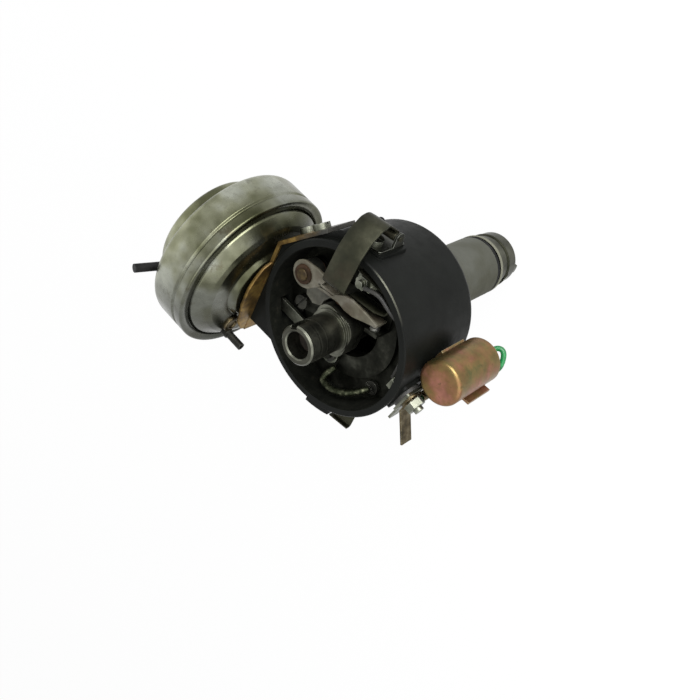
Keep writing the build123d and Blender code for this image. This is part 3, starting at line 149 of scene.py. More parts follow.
def mix_tone(tree, colour, factor):
    """Colour times a value."""
    node = tree.nodes.new("ShaderNodeVectorMath")
    node.operation = "SCALE"
    tree.links.new(colour, node.inputs[0])
    tree.links.new(factor, node.inputs["Scale"])
    return node.outputs[0]


def math_node(tree, kind, first, second=None):
    """One Math node: the values are sockets or numbers."""
    node = tree.nodes.new("ShaderNodeMath")
    node.operation = kind
    for index, value in enumerate((first, second)):
        if value is None:
            continue
        if isinstance(value, (int, float)):
            node.inputs[index].default_value = value
        else:
            tree.links.new(value, node.inputs[index])
    return node.outputs[0]


def shaft_place(tree):
    """(distance from the shaft's axis, height along it), both in metres."""
    across, along, height = place_parts(tree)
    squares = [math_node(tree, "MULTIPLY", part, part) for part in (across, along)]
    return math_node(tree, "SQRT", math_node(tree, "ADD", *squares)), height


BUMP_DEPTH = 0.2 * MM


def bump(tree, shader, height, strength, distance, edge=0.0):
    """Bump from a height, with sharp edges rounded by a radius, for light only."""
    node = tree.nodes.new("ShaderNodeBump")
    node.inputs["Strength"].default_value = strength
    node.inputs["Distance"].default_value = distance
    tree.links.new(height, node.inputs["Height"])
    if edge:
        bevel = tree.nodes.new("ShaderNodeBevel")
        bevel.samples = 4
        bevel.inputs["Radius"].default_value = edge
        tree.links.new(bevel.outputs["Normal"], node.inputs["Normal"])
    tree.links.new(node.outputs["Normal"], shader.inputs["Normal"])


def edge_share(tree, radius):
    """Share from 0 on flat ground to 1 along an edge that the radius rounds."""
    bevel = tree.nodes.new("ShaderNodeBevel")
    bevel.samples = 6
    bevel.inputs["Radius"].default_value = radius
    geometry = tree.nodes.new("ShaderNodeNewGeometry")
    dot = tree.nodes.new("ShaderNodeVectorMath")
    dot.operation = "DOT_PRODUCT"
    tree.links.new(bevel.outputs["Normal"], dot.inputs[0])
    tree.links.new(geometry.outputs["Normal"], dot.inputs[1])
    return band(tree, math_node(tree, "SUBTRACT", 1.0, dot.outputs["Value"]), 0.02, 0.2)


def set_gloss(tree, shader, value, rough):
    """Roughness that a noise value moves between two limits."""
    tree.links.new(band(tree, value, 0.3, 0.7, rough[0], rough[1]), shader.inputs["Roughness"])


def worn_metal(name, dark, mid, light, metallic=1.0, rough=(0.3, 0.5), scale=120.0,
               grime=(0.02, 0.018, 0.012), grime_share=0.35, bare=None):
    """Metal with blotches in three tones, patches of grime and a fine bump.

    Where a bare colour is given, the edges are rubbed down to it: wear, and a painted edge highlight.
    """
    material, tree, shader = new_material(name)
    blotch = noise(tree, scale, 4.0, 0.6)
    colour = ramp(tree, blotch, [(0.32, dark), (0.5, mid), (0.68, light)])
    patch = band(tree, noise(tree, scale * 0.45, 5.0, 0.65), 0.52, 0.7)
    patch = math_node(tree, "MULTIPLY", patch, grime_share)
    colour = mix(tree, patch, colour, grime)
    if bare is not None:
        # Lighter edges: wear, and a painted edge highlight.
        uneven = band(tree, noise(tree, scale * 2.0, 3.0, 0.6), 0.4, 0.6, 0.3, 1.0)
        worn_and_highlight = math_node(tree, "MULTIPLY", edge_share(tree, 0.3 * MM), uneven)
        colour = mix(tree, worn_and_highlight, colour, bare)
    tree.links.new(colour, shader.inputs["Base Color"])
    shader.inputs["Metallic"].default_value = metallic
    set_gloss(tree, shader, noise(tree, scale * 1.7, 4.0, 0.6), rough)
    bump(tree, shader, noise(tree, 900.0, 3.0, 0.6), 0.12, BUMP_DEPTH, 0.25 * MM)
    return material


def plain_stuff(name, dark, light, rough=(0.45, 0.65), level=0.5):
    """Plastic, rubber or fibre: two tones, uneven gloss and a fine bump."""
    material, tree, shader = new_material(name)
    colour = ramp(tree, noise(tree, 200.0, 4.0, 0.6), [(0.35, dark), (0.65, light)])
    tree.links.new(colour, shader.inputs["Base Color"])
    set_gloss(tree, shader, noise(tree, 440.0, 3.0, 0.6), rough)
    shader.inputs["Specular IOR Level"].default_value = level
    bump(tree, shader, noise(tree, 1600.0, 3.0, 0.6), 0.15, BUMP_DEPTH, 0.2 * MM)
    return material


# Places on the housing, where its finish changes.
LINING_RADIUS = 33.0 * MM
RIM_HEIGHT = 51.35 * MM
RIM_RADIUS = 35.6 * MM
SHANK_ROOT = 0.2 * MM
SHANK_REACH = 14.3 * MM
GROOVE_TOP = -48.1 * MM
GROOVE_BOTTOM = -51.1 * MM
GROOVE_REACH = 13.7 * MM
SPINDLE_END = 70.9 * MM


def black_paint(name):
    """Satin black paint with soot inside and bare turned metal on the shank; the land below the groove
    is lighter, as polished metal and a painted highlight; the groove floor is darkened as painted
    shade; one spot of the rim is bare metal with a painted highlight.
    """
    material, tree, shader = new_material(name)
    distance, height = shaft_place(tree)
    paint = ramp(
        tree,
        noise(tree, 70.0, 4.0, 0.6),
        [(0.3, (0.0030, 0.0034, 0.0029)), (0.7, (0.0053, 0.0060, 0.0051))],
    )
    inside = band(tree, distance, LINING_RADIUS + 0.3 * MM, LINING_RADIUS)
    soot = ramp(
        tree,
        noise(tree, 260.0, 5.0, 0.65),
        [
            (0.4, (0.0026, 0.0030, 0.0020)),
            (0.62, (0.0060, 0.0064, 0.0046)),
            (0.8, (0.020, 0.018, 0.012)),
        ],
    )
    paint = mix(tree, inside, paint, soot)
    turned = ramp(
        tree,
        noise(tree, 45.0, 3.0, 0.5),
        [
            (0.3, (0.066, 0.066, 0.050)),
            (0.5, (0.098, 0.099, 0.077)),
            (0.7, (0.132, 0.135, 0.116)),
        ],
    )
    rings = band(tree, noise(tree, 900.0, 3.0, 0.6, combine(tree, height)), 0.3, 0.7, 0.95, 1.04)
    turned = mix_tone(tree, turned, rings)
    # Lighter land below the groove: polished metal, and a painted highlight.
    land_polish_and_highlight = math_node(tree, "LESS_THAN", height, GROOVE_BOTTOM)
    turned = mix(tree, land_polish_and_highlight, turned, (0.24, 0.24, 0.19))
    # Near-black groove floor: painted shade in the recess.
    below_land = math_node(tree, "LESS_THAN", height, GROOVE_TOP)
    deep = math_node(tree, "LESS_THAN", distance, GROOVE_REACH)
    painted_groove_shade = math_node(tree, "MULTIPLY", below_land, deep)
    turned = mix(tree, painted_groove_shade, turned, (0.006, 0.006, 0.005))
    on_shank = math_node(tree, "LESS_THAN", height, SHANK_ROOT)
    narrow = math_node(tree, "LESS_THAN", distance, SHANK_REACH)
    bare = math_node(tree, "MULTIPLY", on_shank, narrow)
    rim_high = math_node(tree, "GREATER_THAN", height, RIM_HEIGHT)
    rim_wide = math_node(tree, "GREATER_THAN", distance, RIM_RADIUS)
    rim = math_node(tree, "MULTIPLY", rim_high, rim_wide)
    # The rim is bare only at one spot set by X and Y: worn paint, and a painted highlight.
    place = place_parts(tree)
    rim = math_node(tree, "MULTIPLY", rim, band(tree, place["X"], 3.0 * MM, 9.0 * MM))
    worn_and_highlight = band(tree, place["Y"], 26.0 * MM, 34.0 * MM, 0.0, 0.7)
    rim = math_node(tree, "MULTIPLY", rim, worn_and_highlight)
    shine = math_node(tree, "MAXIMUM", bare, rim)
    tree.links.new(mix(tree, shine, paint, turned), shader.inputs["Base Color"])
    tree.links.new(shine, shader.inputs["Metallic"])
    satin = band(tree, noise(tree, 240.0, 4.0), 0.3, 0.7, 0.36, 0.5)
    satin = math_node(tree, "ADD", satin, math_node(tree, "MULTIPLY", inside, 0.35))
    tree.links.new(satin, shader.inputs["Roughness"])
    shader.inputs["Specular IOR Level"].default_value = 0.075
    bump(tree, shader, noise(tree, 2600.0, 2.0, 0.5), 0.10, BUMP_DEPTH, 0.3 * MM)
    return material


def turned_steel(name, tint=(0.085, 0.088, 0.07), rings=1400.0, end=None):
    """Turned steel: fine rings along the shaft's axis, a few stains, and a darker tone beyond an end
    height.
    """
    material, tree, shader = new_material(name)
    height = place_parts(tree)["Z"]
    turning = noise(tree, rings, 2.0, 0.5, combine(tree, height))
    tone = ramp(
        tree,
        noise(tree, 130.0, 4.0, 0.6),
        [
            (0.3, tuple(0.45 * c for c in tint)),
            (0.5, tint),
            (0.7, tuple(min(1.0, 1.5 * c) for c in tint)),
        ],
    )
    stain = band(tree, noise(tree, 60.0, 5.0, 0.65), 0.55, 0.72, 0.0, 0.5)
    tone = mix(tree, stain, tone, (0.02, 0.018, 0.013))
    if end is not None:
        # Darker tone beyond the end height.
        past_end = math_node(tree, "GREATER_THAN", height, end)
        tone = mix(tree, math_node(tree, "MULTIPLY", past_end, 0.75), tone, (0.030, 0.029, 0.022))
    tree.links.new(tone, shader.inputs["Base Color"])
    shader.inputs["Metallic"].default_value = 1.0
    set_gloss(tree, shader, turning, (0.25, 0.42))
    bump(tree, shader, turning, 0.10, BUMP_DEPTH, 0.25 * MM)
    return material


def gold_chromate(name):
    """Gold chromate plate that shifts between gold, pink and green in soft patches."""
    material, tree, shader = new_material(name)
    tint = ramp(
        tree,
        noise(tree, 78.0, 4.0, 0.6),
        [
            (0.36, (0.120, 0.112, 0.042)),
            (0.46, (0.205, 0.138, 0.052)),
            (0.55, (0.235, 0.122, 0.058)),
            (0.66, (0.320, 0.140, 0.098)),
        ],
    )
    tint = mix_tone(tree, tint, band(tree, noise(tree, 210.0, 4.0, 0.6), 0.3, 0.7, 0.68, 1.1))
    spot = band(tree, noise(tree, 420.0, 4.0, 0.6), 0.62, 0.72, 0.0, 0.6)
    tint = mix(tree, spot, tint, (0.07, 0.048, 0.022))
    # Lighter edges: wear, and a painted edge highlight.
    worn_and_highlight = math_node(tree, "MULTIPLY", edge_share(tree, 0.5 * MM), 0.65)
    tint = mix(tree, worn_and_highlight, tint, (0.42, 0.40, 0.26))
    tree.links.new(tint, shader.inputs["Base Color"])
    shader.inputs["Metallic"].default_value = 0.9
    set_gloss(tree, shader, noise(tree, 150.0, 4.0), (0.30, 0.46))
    bump(tree, shader, noise(tree, 900.0, 3.0, 0.6), 0.10, BUMP_DEPTH, 0.3 * MM)
    return material


def cup_zinc(name):
    """Zinc on the vacuum unit: cloudy olive with stains, made pale behind by painted light and darker
    in front and below by painted shade.
    """
    material, tree, shader = new_material(name)
    cloud = ramp(
        tree,
        noise(tree, 34.0, 3.0, 0.55),
        [
            (0.38, (0.049, 0.051, 0.026)),
            (0.46, (0.097, 0.100, 0.058)),
            (0.54, (0.172, 0.176, 0.121)),
            (0.63, (0.268, 0.278, 0.234)),
        ],
    )
    place = place_parts(tree)
    # Painted light and shade: lighter towards the rear disc, darker towards the front and towards -Y.
    painted_light_and_shade_x = band(tree, place["X"], -50.0 * MM, -74.0 * MM, 0.6, 1.35)
    painted_light_and_shade_y = band(tree, place["Y"], -52.0 * MM, 8.0 * MM, 0.36, 1.25)
    cloud = mix_tone(tree, cloud, math_node(tree, "MULTIPLY", painted_light_and_shade_x, painted_light_and_shade_y))
    fine = band(tree, noise(tree, 210.0, 5.0, 0.65), 0.3, 0.7, 0.82, 1.12)
    cloud = mix_tone(tree, cloud, fine)
    stain = band(tree, noise(tree, 140.0, 5.0, 0.7), 0.58, 0.72, 0.0, 0.7)
    cloud = mix(tree, stain, cloud, (0.055, 0.046, 0.026))
    tree.links.new(cloud, shader.inputs["Base Color"])
    shader.inputs["Metallic"].default_value = 0.95
    set_gloss(tree, shader, noise(tree, 80.0, 4.0), (0.18, 0.34))
    bump(tree, shader, noise(tree, 500.0, 3.0, 0.6), 0.12, 1.5 * BUMP_DEPTH)
    return material


def dark_bracket(name):
    """Bracket grey and dark over the bowl, with old gold and rust out towards the vacuum unit."""
    material, tree, shader = new_material(name)
    outer = band(tree, place_parts(tree)["X"], -24.0 * MM, -34.0 * MM)
    gold = ramp(
        tree,
        noise(tree, 130.0, 4.0, 0.6),
        [
            (0.32, (0.036, 0.025, 0.011)),
            (0.48, (0.120, 0.072, 0.020)),
            (0.60, (0.240, 0.155, 0.042)),
            (0.72, (0.140, 0.058, 0.018)),
        ],
    )
    grey = ramp(
        tree,
        noise(tree, 160.0, 4.0, 0.6),
        [(0.3, (0.026, 0.026, 0.023)), (0.7, (0.070, 0.068, 0.060))],
    )
    tree.links.new(mix(tree, outer, grey, gold), shader.inputs["Base Color"])
    shader.inputs["Metallic"].default_value = 0.75
    set_gloss(tree, shader, noise(tree, 200.0, 4.0), (0.3, 0.5))
    bump(tree, shader, noise(tree, 900.0, 3.0, 0.6), 0.12, BUMP_DEPTH, 0.3 * MM)
    return material


# ------------------------------------------------------------------ materials
finishes = {
    "black_paint": black_paint("black_paint"),
    "seal_rubber": plain_stuff("seal_rubber", (0.004, 0.004, 0.004), (0.012, 0.012, 0.012), level=0.12),
    "sintered_bronze": worn_metal(
        "sintered_bronze", (0.09, 0.055, 0.03), (0.16, 0.10, 0.055), (0.26, 0.17, 0.09)
    ),
    "dirty_steel": worn_metal(
        "dirty_steel", (0.006, 0.0065, 0.005), (0.016, 0.0165, 0.013), (0.045, 0.046, 0.037),
        rough=(0.4, 0.65), grime_share=0.7, grime=(0.004, 0.004, 0.003),
    ),
    "plated_steel": worn_metal(
        "plated_steel", (0.055, 0.06, 0.045), (0.12, 0.125, 0.097), (0.20, 0.205, 0.165),
        rough=(0.3, 0.5), bare=(0.35, 0.36, 0.31),
    ),
    "spring_steel": worn_metal(
        "spring_steel", (0.012, 0.013, 0.007), (0.020, 0.0205, 0.0115), (0.033, 0.033, 0.020),
        rough=(0.4, 0.6), metallic=0.8, grime_share=0.6, grime=(0.022, 0.015, 0.009),
        bare=(0.075, 0.080, 0.052),
    ),
    "insulator_plastic": plain_stuff("insulator_plastic", (0.13, 0.14, 0.10), (0.27, 0.28, 0.21)),
    "tinned_brass": worn_metal(
        "tinned_brass", (0.035, 0.028, 0.013), (0.085, 0.066, 0.035), (0.16, 0.135, 0.085),
        scale=260.0, bare=(0.26, 0.24, 0.17),
    ),
    "gold_zinc": gold_chromate("gold_zinc"),
    "green_lead": plain_stuff(
        "green_lead", (0.003, 0.085, 0.02), (0.01, 0.19, 0.05), rough=(0.3, 0.45)
    ),
    "grey_zinc": cup_zinc("grey_zinc"),
    "dark_lead": plain_stuff("dark_lead", (0.006, 0.006, 0.005), (0.022, 0.021, 0.017)),
    "copper_braid": worn_metal(
        "copper_braid", (0.008, 0.010, 0.005), (0.032, 0.036, 0.022), (0.15, 0.155, 0.10),
        rough=(0.4, 0.6), scale=420.0,
    ),
    "machined_steel": turned_steel("machined_steel"),
    "oil_felt": plain_stuff("oil_felt", (0.008, 0.005, 0.003), (0.022, 0.014, 0.008), rough=(0.7, 0.9)),
    "contact_metal": worn_metal(
        "contact_metal", (0.10, 0.10, 0.09), (0.19, 0.19, 0.17), (0.3, 0.3, 0.28), scale=400.0
    ),
    "arm_steel": worn_metal(
        "arm_steel", (0.068, 0.062, 0.042), (0.098, 0.090, 0.064), (0.145, 0.136, 0.108),
        rough=(0.45, 0.6), scale=220.0, metallic=0.3, grime_share=0.8, grime=(0.054, 0.038, 0.024),
    ),
    "strap_steel": worn_metal(
        "strap_steel", (0.045, 0.044, 0.032), (0.085, 0.083, 0.062), (0.115, 0.112, 0.088),
        rough=(0.45, 0.6), scale=160.0, metallic=0.3,
    ),
    "cam_steel": turned_steel("cam_steel", tint=(0.105, 0.107, 0.086), end=SPINDLE_END),
    "dog_steel": turned_steel("dog_steel", tint=(0.082, 0.083, 0.064), rings=500.0),
    "bracket_steel": worn_metal(
        "bracket_steel", (0.012, 0.013, 0.010), (0.03, 0.031, 0.025), (0.07, 0.072, 0.06),
        rough=(0.3, 0.5), bare=(0.42, 0.44, 0.38),
    ),
    "dull_steel": worn_metal(
        "dull_steel", (0.012, 0.012, 0.010), (0.026, 0.026, 0.021), (0.05, 0.05, 0.04),
        rough=(0.45, 0.6), metallic=0.8, bare=(0.09, 0.09, 0.075),
    ),
    "dark_bracket": dark_bracket("dark_bracket"),
    "brown_fibre": plain_stuff(
        "brown_fibre", (0.014, 0.008, 0.004), (0.036, 0.020, 0.011), rough=(0.5, 0.7), level=0.12
    ),
    "dull_brass": worn_metal(
        "dull_brass", (0.028, 0.018, 0.008), (0.060, 0.041, 0.017), (0.105, 0.075, 0.035),
        scale=320.0, rough=(0.4, 0.55), metallic=0.8,
    ),
}
slot_of = {entry["node"]: entry["material_slot"] for entry in frame["record"]["subparts"]}
for name, node in nodes.items():
    node.data.materials.clear()
    node.data.materials.append(finishes[slot_of[name]])

special_finish = {
    "front_nozzle": "dull_steel",
    "vacuum_bracket": "dark_bracket",
    "contact_lock_screw": "dull_steel",
    "base_plate_screws": "dull_steel",
    "terminal_insulator": "dark_lead",
    "rod_clip": "dull_steel",
    "drive_dog": "dog_steel",
    "clip_brackets": "bracket_steel",
    "cam": "cam_steel",
    "pivot_post": "dull_brass",
}
for name, finish_name in special_finish.items():
    nodes[name].data.materials[0] = finishes[finish_name]


# ------------------------------------------------------------------ leads
def lead(name, points, diameter, finish_name, replaced):
    """Smooth round line on the housing: a NURBS curve with its control points in millimetres."""
    curve = bpy.data.curves.new(name, "CURVE")
    curve.dimensions = "3D"
    curve.bevel_depth = diameter / 2 * MM
    curve.bevel_resolution = 5
    curve.resolution_u = 10
    curve.use_fill_caps = True
    spline = curve.splines.new("NURBS")
    spline.points.add(len(points) - 1)
    for point, place in zip(spline.points, points):
        point.co = (*in_metres(place), 1.0)
    spline.order_u = 3
    spline.use_endpoint_u = True
    curve.materials.append(finishes[finish_name])
    piece = link_object(name, curve)
    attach(piece, "housing")
    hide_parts(replaced)
    return piece


# For each lead: control points and diameter in millimetres, finish, and real length in metres.
leads = {
    "condenser_lead": (
        [
            (44.50, 10.11, 13.5),
            (44.50, 10.11, 9.0),
            (45.0, 14.6, 5.4),
            (48.6, 15.4, 4.6),
            (51.6, 10.0, 6.4),
            (50.0, 3.8, 5.0),
            (46.0, -1.4, 8.4),
            (42.6, -4.6, 15.0),
            (42.2, -5.8, 25.0),
            (40.40, -5.68, 29.5),
            (40.40, -5.68, 34.0),
        ],
        2.3,
        "green_lead",
        0.0590,
    ),
    "primary_lead": (
        [
            (3.5, 25.6, 50.6),
            (9.0, 28.6, 50.6),
            (16.32, 26.12, 50.6),
            (21.53, 22.30, 47.0),
            (26.29, 16.43, 45.5),
            (28.76, 6.11, 43.8),
            (27.83, -3.91, 41.0),
        ],
        1.8,
        "dark_lead",
        0.0492,
    ),
    "earth_braid": (
        [
            (22.06, -17.24, 41.3),
            (18.38, -21.91, 45.5),
            (13.43, -25.25, 47.2),
            (7.88, -27.49, 47.4),
            (2.88, -27.45, 46.0),
            (4.93, -21.34, 42.2),
        ],
        2.6,
        "copper_braid",
        0.0301,
    ),
}
for name, (points, diameter, finish_name, length) in leads.items():
    piece = lead(name + "_line", points, diameter, finish_name, name)

NOZZLE_DIAMETER = 3.7
nozzle_line = [(-70.9, -22.0, 71.6), (-72.6, -22.0, 78.4), (-74.3, -22.0, 85.2)]
lead("rear_nozzle_rod", nozzle_line, NOZZLE_DIAMETER, "seal_rubber", "rear_nozzle")


# ------------------------------------------------------------------ pressed and bent sheet
def rounded(points, radii, steps=6):
    """Open line through 2-D points with its corners turned into arcs of the given radii."""
    line = [points[0]]
    for before, corner, after, radius in zip(points, points[1:], points[2:], radii):
        to_before = Vector(before) - Vector(corner)
        to_after = Vector(after) - Vector(corner)
        opening = to_before.angle(to_after)
        reach = radius / math.tan(opening / 2)
        reach = min(reach, 0.49 * to_before.length, 0.49 * to_after.length)
        if reach < 0.01 or opening > math.radians(176):
            line.append(corner)
            continue
        first = Vector(corner) + to_before.normalized() * reach
        last = Vector(corner) + to_after.normalized() * reach
        for step in range(steps + 1):
            share = step / steps
            rest = 1 - share
            line.append(tuple(first * rest**2 + Vector(corner) * 2 * share * rest + last * share**2))
    line.append(points[-1])
    return line


def add_piece(name, vertices, faces, body, slot_name, replaced=(), finish_name=None):
    """Smooth-shaded mesh object, on a body where one is given, with its slot's or another finish."""
    mesh = bpy.data.meshes.new(name)
    mesh.from_pydata([in_metres(vertex) for vertex in vertices], [], faces)
    mesh.materials.append(finishes[finish_name or slot_name])
    mesh.polygons.foreach_set("use_smooth", [True] * len(mesh.polygons))
    mesh.update()
    piece = link_object(name, mesh)
    if body is not None:
        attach(piece, body)
    if replaced:
        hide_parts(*replaced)
    return piece


def thicken(piece, sheet):
    """Sheet of a thickness in millimetres grown inward from a surface."""
    solid = piece.modifiers.new("sheet", "SOLIDIFY")
    solid.thickness = sheet * MM
    solid.offset = -1.0


SHARP_ANGLE = math.radians(50)


def round_edges(piece, width, segments=2):
    """Bevel of a width in millimetres along the sharp edges."""
    edge = piece.modifiers.new("edge", "BEVEL")
    edge.width = width * MM
    edge.segments = segments
    edge.limit_method = "ANGLE"
    edge.angle_limit = SHARP_ANGLE


def circle(radius, steps):
    """Points around a circle."""
    turns = [2 * math.pi * step / steps for step in range(steps)]
    return [(radius * math.cos(turn), radius * math.sin(turn)) for turn in turns]


SECTION_SIDES = ((0, 1), (1, 3), (3, 2), (2, 0))


def bar_faces(count):
    """Faces of a bar swept through sections of four points each, closed at both ends."""
    last = 4 * (count - 1)
    faces = []
    for near in range(0, last, 4):
        far = near + 4
        for first, second in SECTION_SIDES:
            faces.append((near + first, near + second, far + second, far + first))
    faces.append((0, 2, 3, 1))
    faces.append((last, last + 1, last + 3, last + 2))
    return faces


def lathe(name, profile, centre, sheet, slot_name, replaced=(), segments=128):
    """Pressed sheet turned about a line along X: profile points are (distance towards -X, radius)."""
    vertices = []
    faces = []
    rings = []
    for along, radius in profile:
        if radius < 0.001:
            rings.append([len(vertices)])
            vertices.append((-along, centre[0], centre[1]))
            continue
        rings.append(list(range(len(vertices), len(vertices) + segments)))
        for y, z in circle(radius, segments):
            vertices.append((-along, centre[0] + y, centre[1] + z))
    for near, far in zip(rings, rings[1:]):
        for step in range(segments):
            after = (step + 1) % segments
            if len(far) == 1:
                faces.append((near[step], far[0], near[after]))
            elif len(near) == 1:
                faces.append((near[0], far[step], far[after]))
            else:
                faces.append((near[step], far[step], far[after], near[after]))
    piece = add_piece(name, vertices, faces, "housing", slot_name, replaced)
    if sheet:
        thicken(piece, sheet)


UNIT_CENTRE = (-16.9, 42.7)
BOSS_CENTRE = (-37.9, 52.6)
CUP_SHEET = 1.1
rear_profile = rounded(
    [
        (48.7, 34.7),
        (48.7, 38.45),
        (53.1, 38.45),
        (53.7, 37.7),
        (54.3, 37.7),
        (54.9, 38.45),
        (67.9, 38.45),
        (69.2, 31.0),
        (69.9, 28.2),
        (75.4, 27.0),
        (78.3, 26.2),
        (80.7, 18.4),
        (83.85, 15.2),
        (83.85, 0.0),
    ],
    (1.1, 0.5, 0.4, 0.4, 0.5, 4.6, 2.2, 1.6, 1.0, 3.4, 1.6, 1.4),
)
lathe("rear_cup_shell", rear_profile, UNIT_CENTRE, CUP_SHEET, "grey_zinc", ["vacuum_rear_cup"])
front_profile = rounded(
    [
        (49.9, 37.1),
        (49.9, 34.0),
        (48.2, 33.4),
        (44.5, 29.0),
        (43.5, 27.0),
        (43.5, 18.0),
        (41.0, 16.5),
        (41.0, 9.0),
        (40.05, 9.0),
        (40.05, 4.7),
    ],
    (0.7, 1.2, 2.0, 1.5, 1.2, 1.2, 0.5, 0.3),
)
front_profile.reverse()
lathe("front_cup_shell", front_profile, UNIT_CENTRE, CUP_SHEET, "grey_zinc", ["vacuum_front_cup"])
boss_profile = rounded(
    [(44.6, 4.1), (42.5, 4.1), (42.3, 2.2), (43.2, 2.0), (43.2, 0.0)], (0.5, 0.4, 0.3)
)
boss_profile.reverse()
lathe("front_cup_boss", boss_profile, BOSS_CENTRE, 0.0, "tinned_brass", segments=40)


# Clips: the hinge as (reach, height), and the bends as (run, rise) from it.
HINGE = (40.2, 34.0)
CLIP_SHEET = 0.8
CLIP_HALF_WIDTH = 4.4
LOOP_RADIUS = 1.06
LOOP_STEPS = 23
LOOP_END = -49.4
LOOP_STEP = 15.0
FLARE_START = 6.0
FLARE_RISE = 6.0
FLARE_LEFT = 2.0
FLARE_RIGHT = 0.2
CLIP_LEG = [
    (0.69, -0.8),
    (2.36, 0.63),
    (5.0, 5.0),
    (7.6, 9.8),
    (6.8, 13.4),
    (2.9, 18.1),
    (-3.0, 21.7),
]
CLIP_ROUNDS = (2.0, 4.0, 4.0, 3.0, 4.0, 6.0, 1.0)
CLIP_ENDS = {
    "upper_clip": [(-15.6, 25.8), (-16.7, 24.5)],
    "lower_clip": [(-12.2, 24.5), (-13.2, 22.6)],
}
CLIP_ANGLES = {"upper_clip": 100.0, "lower_clip": -80.0}
CLIP_LEANS = {"upper_clip": 0.0, "lower_clip": -146.0}


def strip(name, line, sides, angle, body):
    """Bent strip of clip sheet: the line is (reach, height) in the radial plane at an angle.

    Sides are the strip's two edges across that plane, one pair for each point of the line.
    """
    vertices = []
    out = (math.cos(math.radians(angle)), math.sin(math.radians(angle)))
    for index, (reach, height) in enumerate(line):
        before = line[max(index - 1, 0)]
        after = line[min(index + 1, len(line) - 1)]
        step = Vector((after[0] - before[0], after[1] - before[1])).normalized()
        far_side = (reach + step[1] * CLIP_SHEET, height - step[0] * CLIP_SHEET)
        for side_reach, side_height in ((reach, height), far_side):
            for half in sides[index]:
                x = side_reach * out[0] - half * out[1]
                y = side_reach * out[1] + half * out[0]
                vertices.append((x, y, side_height))
    faces = [(a, d, c, b) for a, b, c, d in bar_faces(len(line))]
    round_edges(add_piece(name, vertices, faces, body, "spring_steel", [body]), 0.16)


loop_line = []
for step in range(LOOP_STEPS):
    turn = math.radians(LOOP_END - LOOP_STEP * (LOOP_STEPS - 1 - step))
    loop_line.append((LOOP_RADIUS * math.cos(turn), LOOP_RADIUS * math.sin(turn)))
for name, lean in CLIP_LEANS.items():
    cos_lean = math.cos(math.radians(lean))
    sin_lean = math.sin(math.radians(lean))
    line = []
    sides = []
    for run, rise in loop_line + rounded(CLIP_LEG + CLIP_ENDS[name], CLIP_ROUNDS)[1:]:
        flare = min(max((rise - FLARE_START) / FLARE_RISE, 0.0), 1.0)
        flare *= flare * (3.0 - 2.0 * flare)
        left = -CLIP_HALF_WIDTH - FLARE_LEFT * flare
        sides.append((left, CLIP_HALF_WIDTH + FLARE_RIGHT * flare))
        reach = HINGE[0] + run * cos_lean - rise * sin_lean
        line.append((reach, HINGE[1] + run * sin_lean + rise * cos_lean))
    strip(name + "_strip", line, sides, CLIP_ANGLES[name], name)


# ------------------------------------------------------------------ breaker arm
PIVOT = (-21.986, 10.112)
ARM_ANGLE = 11.52
ARM_TOP = 51.0
ARM_SHEET = 1.1
ROUND_STEPS = 40


def on_arm(along, offset, height):
    """Place from arm coordinates: distance from the pivot, offset away from the cam, height."""
    turn = math.radians(ARM_ANGLE)
    return (
        PIVOT[0] + along * math.cos(turn) - offset * math.sin(turn),
        PIVOT[1] + along * math.sin(turn) + offset * math.cos(turn),
        height,
    )


def arm_plate(name, outline, hole, top, thickness, finish_name, replaced=()):
    """Flat plate in arm coordinates, with an optional round hole at the pivot."""
    mesh = bmesh.new()
    edges = []
    loops = [outline]
    if hole:
        loops.append(circle(hole, ROUND_STEPS))
    for loop in loops:
        rim = [mesh.verts.new(Vector(on_arm(along, offset, top)) * MM) for along, offset in loop]
        edges += [mesh.edges.new((rim[index - 1], rim[index])) for index in range(len(rim))]
    bmesh.ops.triangle_fill(mesh, use_beauty=True, edges=edges, normal=(0.0, 0.0, 1.0))
    for face in mesh.faces:
        if face.normal.z < 0:
            face.normal_flip()
    data = bpy.data.meshes.new(name)
    mesh.to_mesh(data)
    mesh.free()
    data.materials.append(finishes[finish_name])
    piece = link_object(name, data)
    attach(piece, "breaker_arm")
    if replaced:
        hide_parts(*replaced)
    thicken(piece, thickness)
    round_edges(piece, 0.18)


EYE_RADIUS = 5.8
EYE_HOLE = 4.0
EYE_START = 80.0
EYE_STEP = 10.5
eye_outline = [(3.4, -5.0), (6.4, -2.6), (8.6, -0.9), (10.8, 2.9), (10.3, 4.7), (6.0, 5.6)]
for step in range(21):
    turn = math.radians(EYE_START + step * EYE_STEP)
    eye_outline.append((EYE_RADIUS * math.cos(turn), EYE_RADIUS * math.sin(turn)))
arm_plate("arm_eye", eye_outline, EYE_HOLE, ARM_TOP, ARM_SHEET, "arm_steel", ["breaker_arm"])
blade_outline = [
    (15.8, -0.9),
    (17.9, -1.6),
    (22.2, -3.3),
    (26.6, -3.7),
    (31.8, -2.6),
    (35.6, -1.9),
    (38.0, -1.2),
    (38.0, -0.4),
    (34.8, 0.5),
    (30.4, 1.7),
    (26.0, 2.5),
    (24.1, 2.9),
    (20.7, 2.3),
    (17.0, 0.6),
    (15.8, 0.2),
]
arm_plate("arm_blade", blade_outline, 0.0, ARM_TOP, ARM_SHEET, "arm_steel")


def arm_wall(name, line, sheet, low, high):
    """Standing wall of the arm along a line in arm coordinates."""
    vertices = []
    for along, offset in line:
        for side in (offset - sheet / 2, offset + sheet / 2):
            vertices.append(on_arm(along, side, low))
            vertices.append(on_arm(along, side, high))
    piece = add_piece(name, vertices, bar_faces(len(line)), "breaker_arm", "arm_steel")
    round_edges(piece, 0.15)


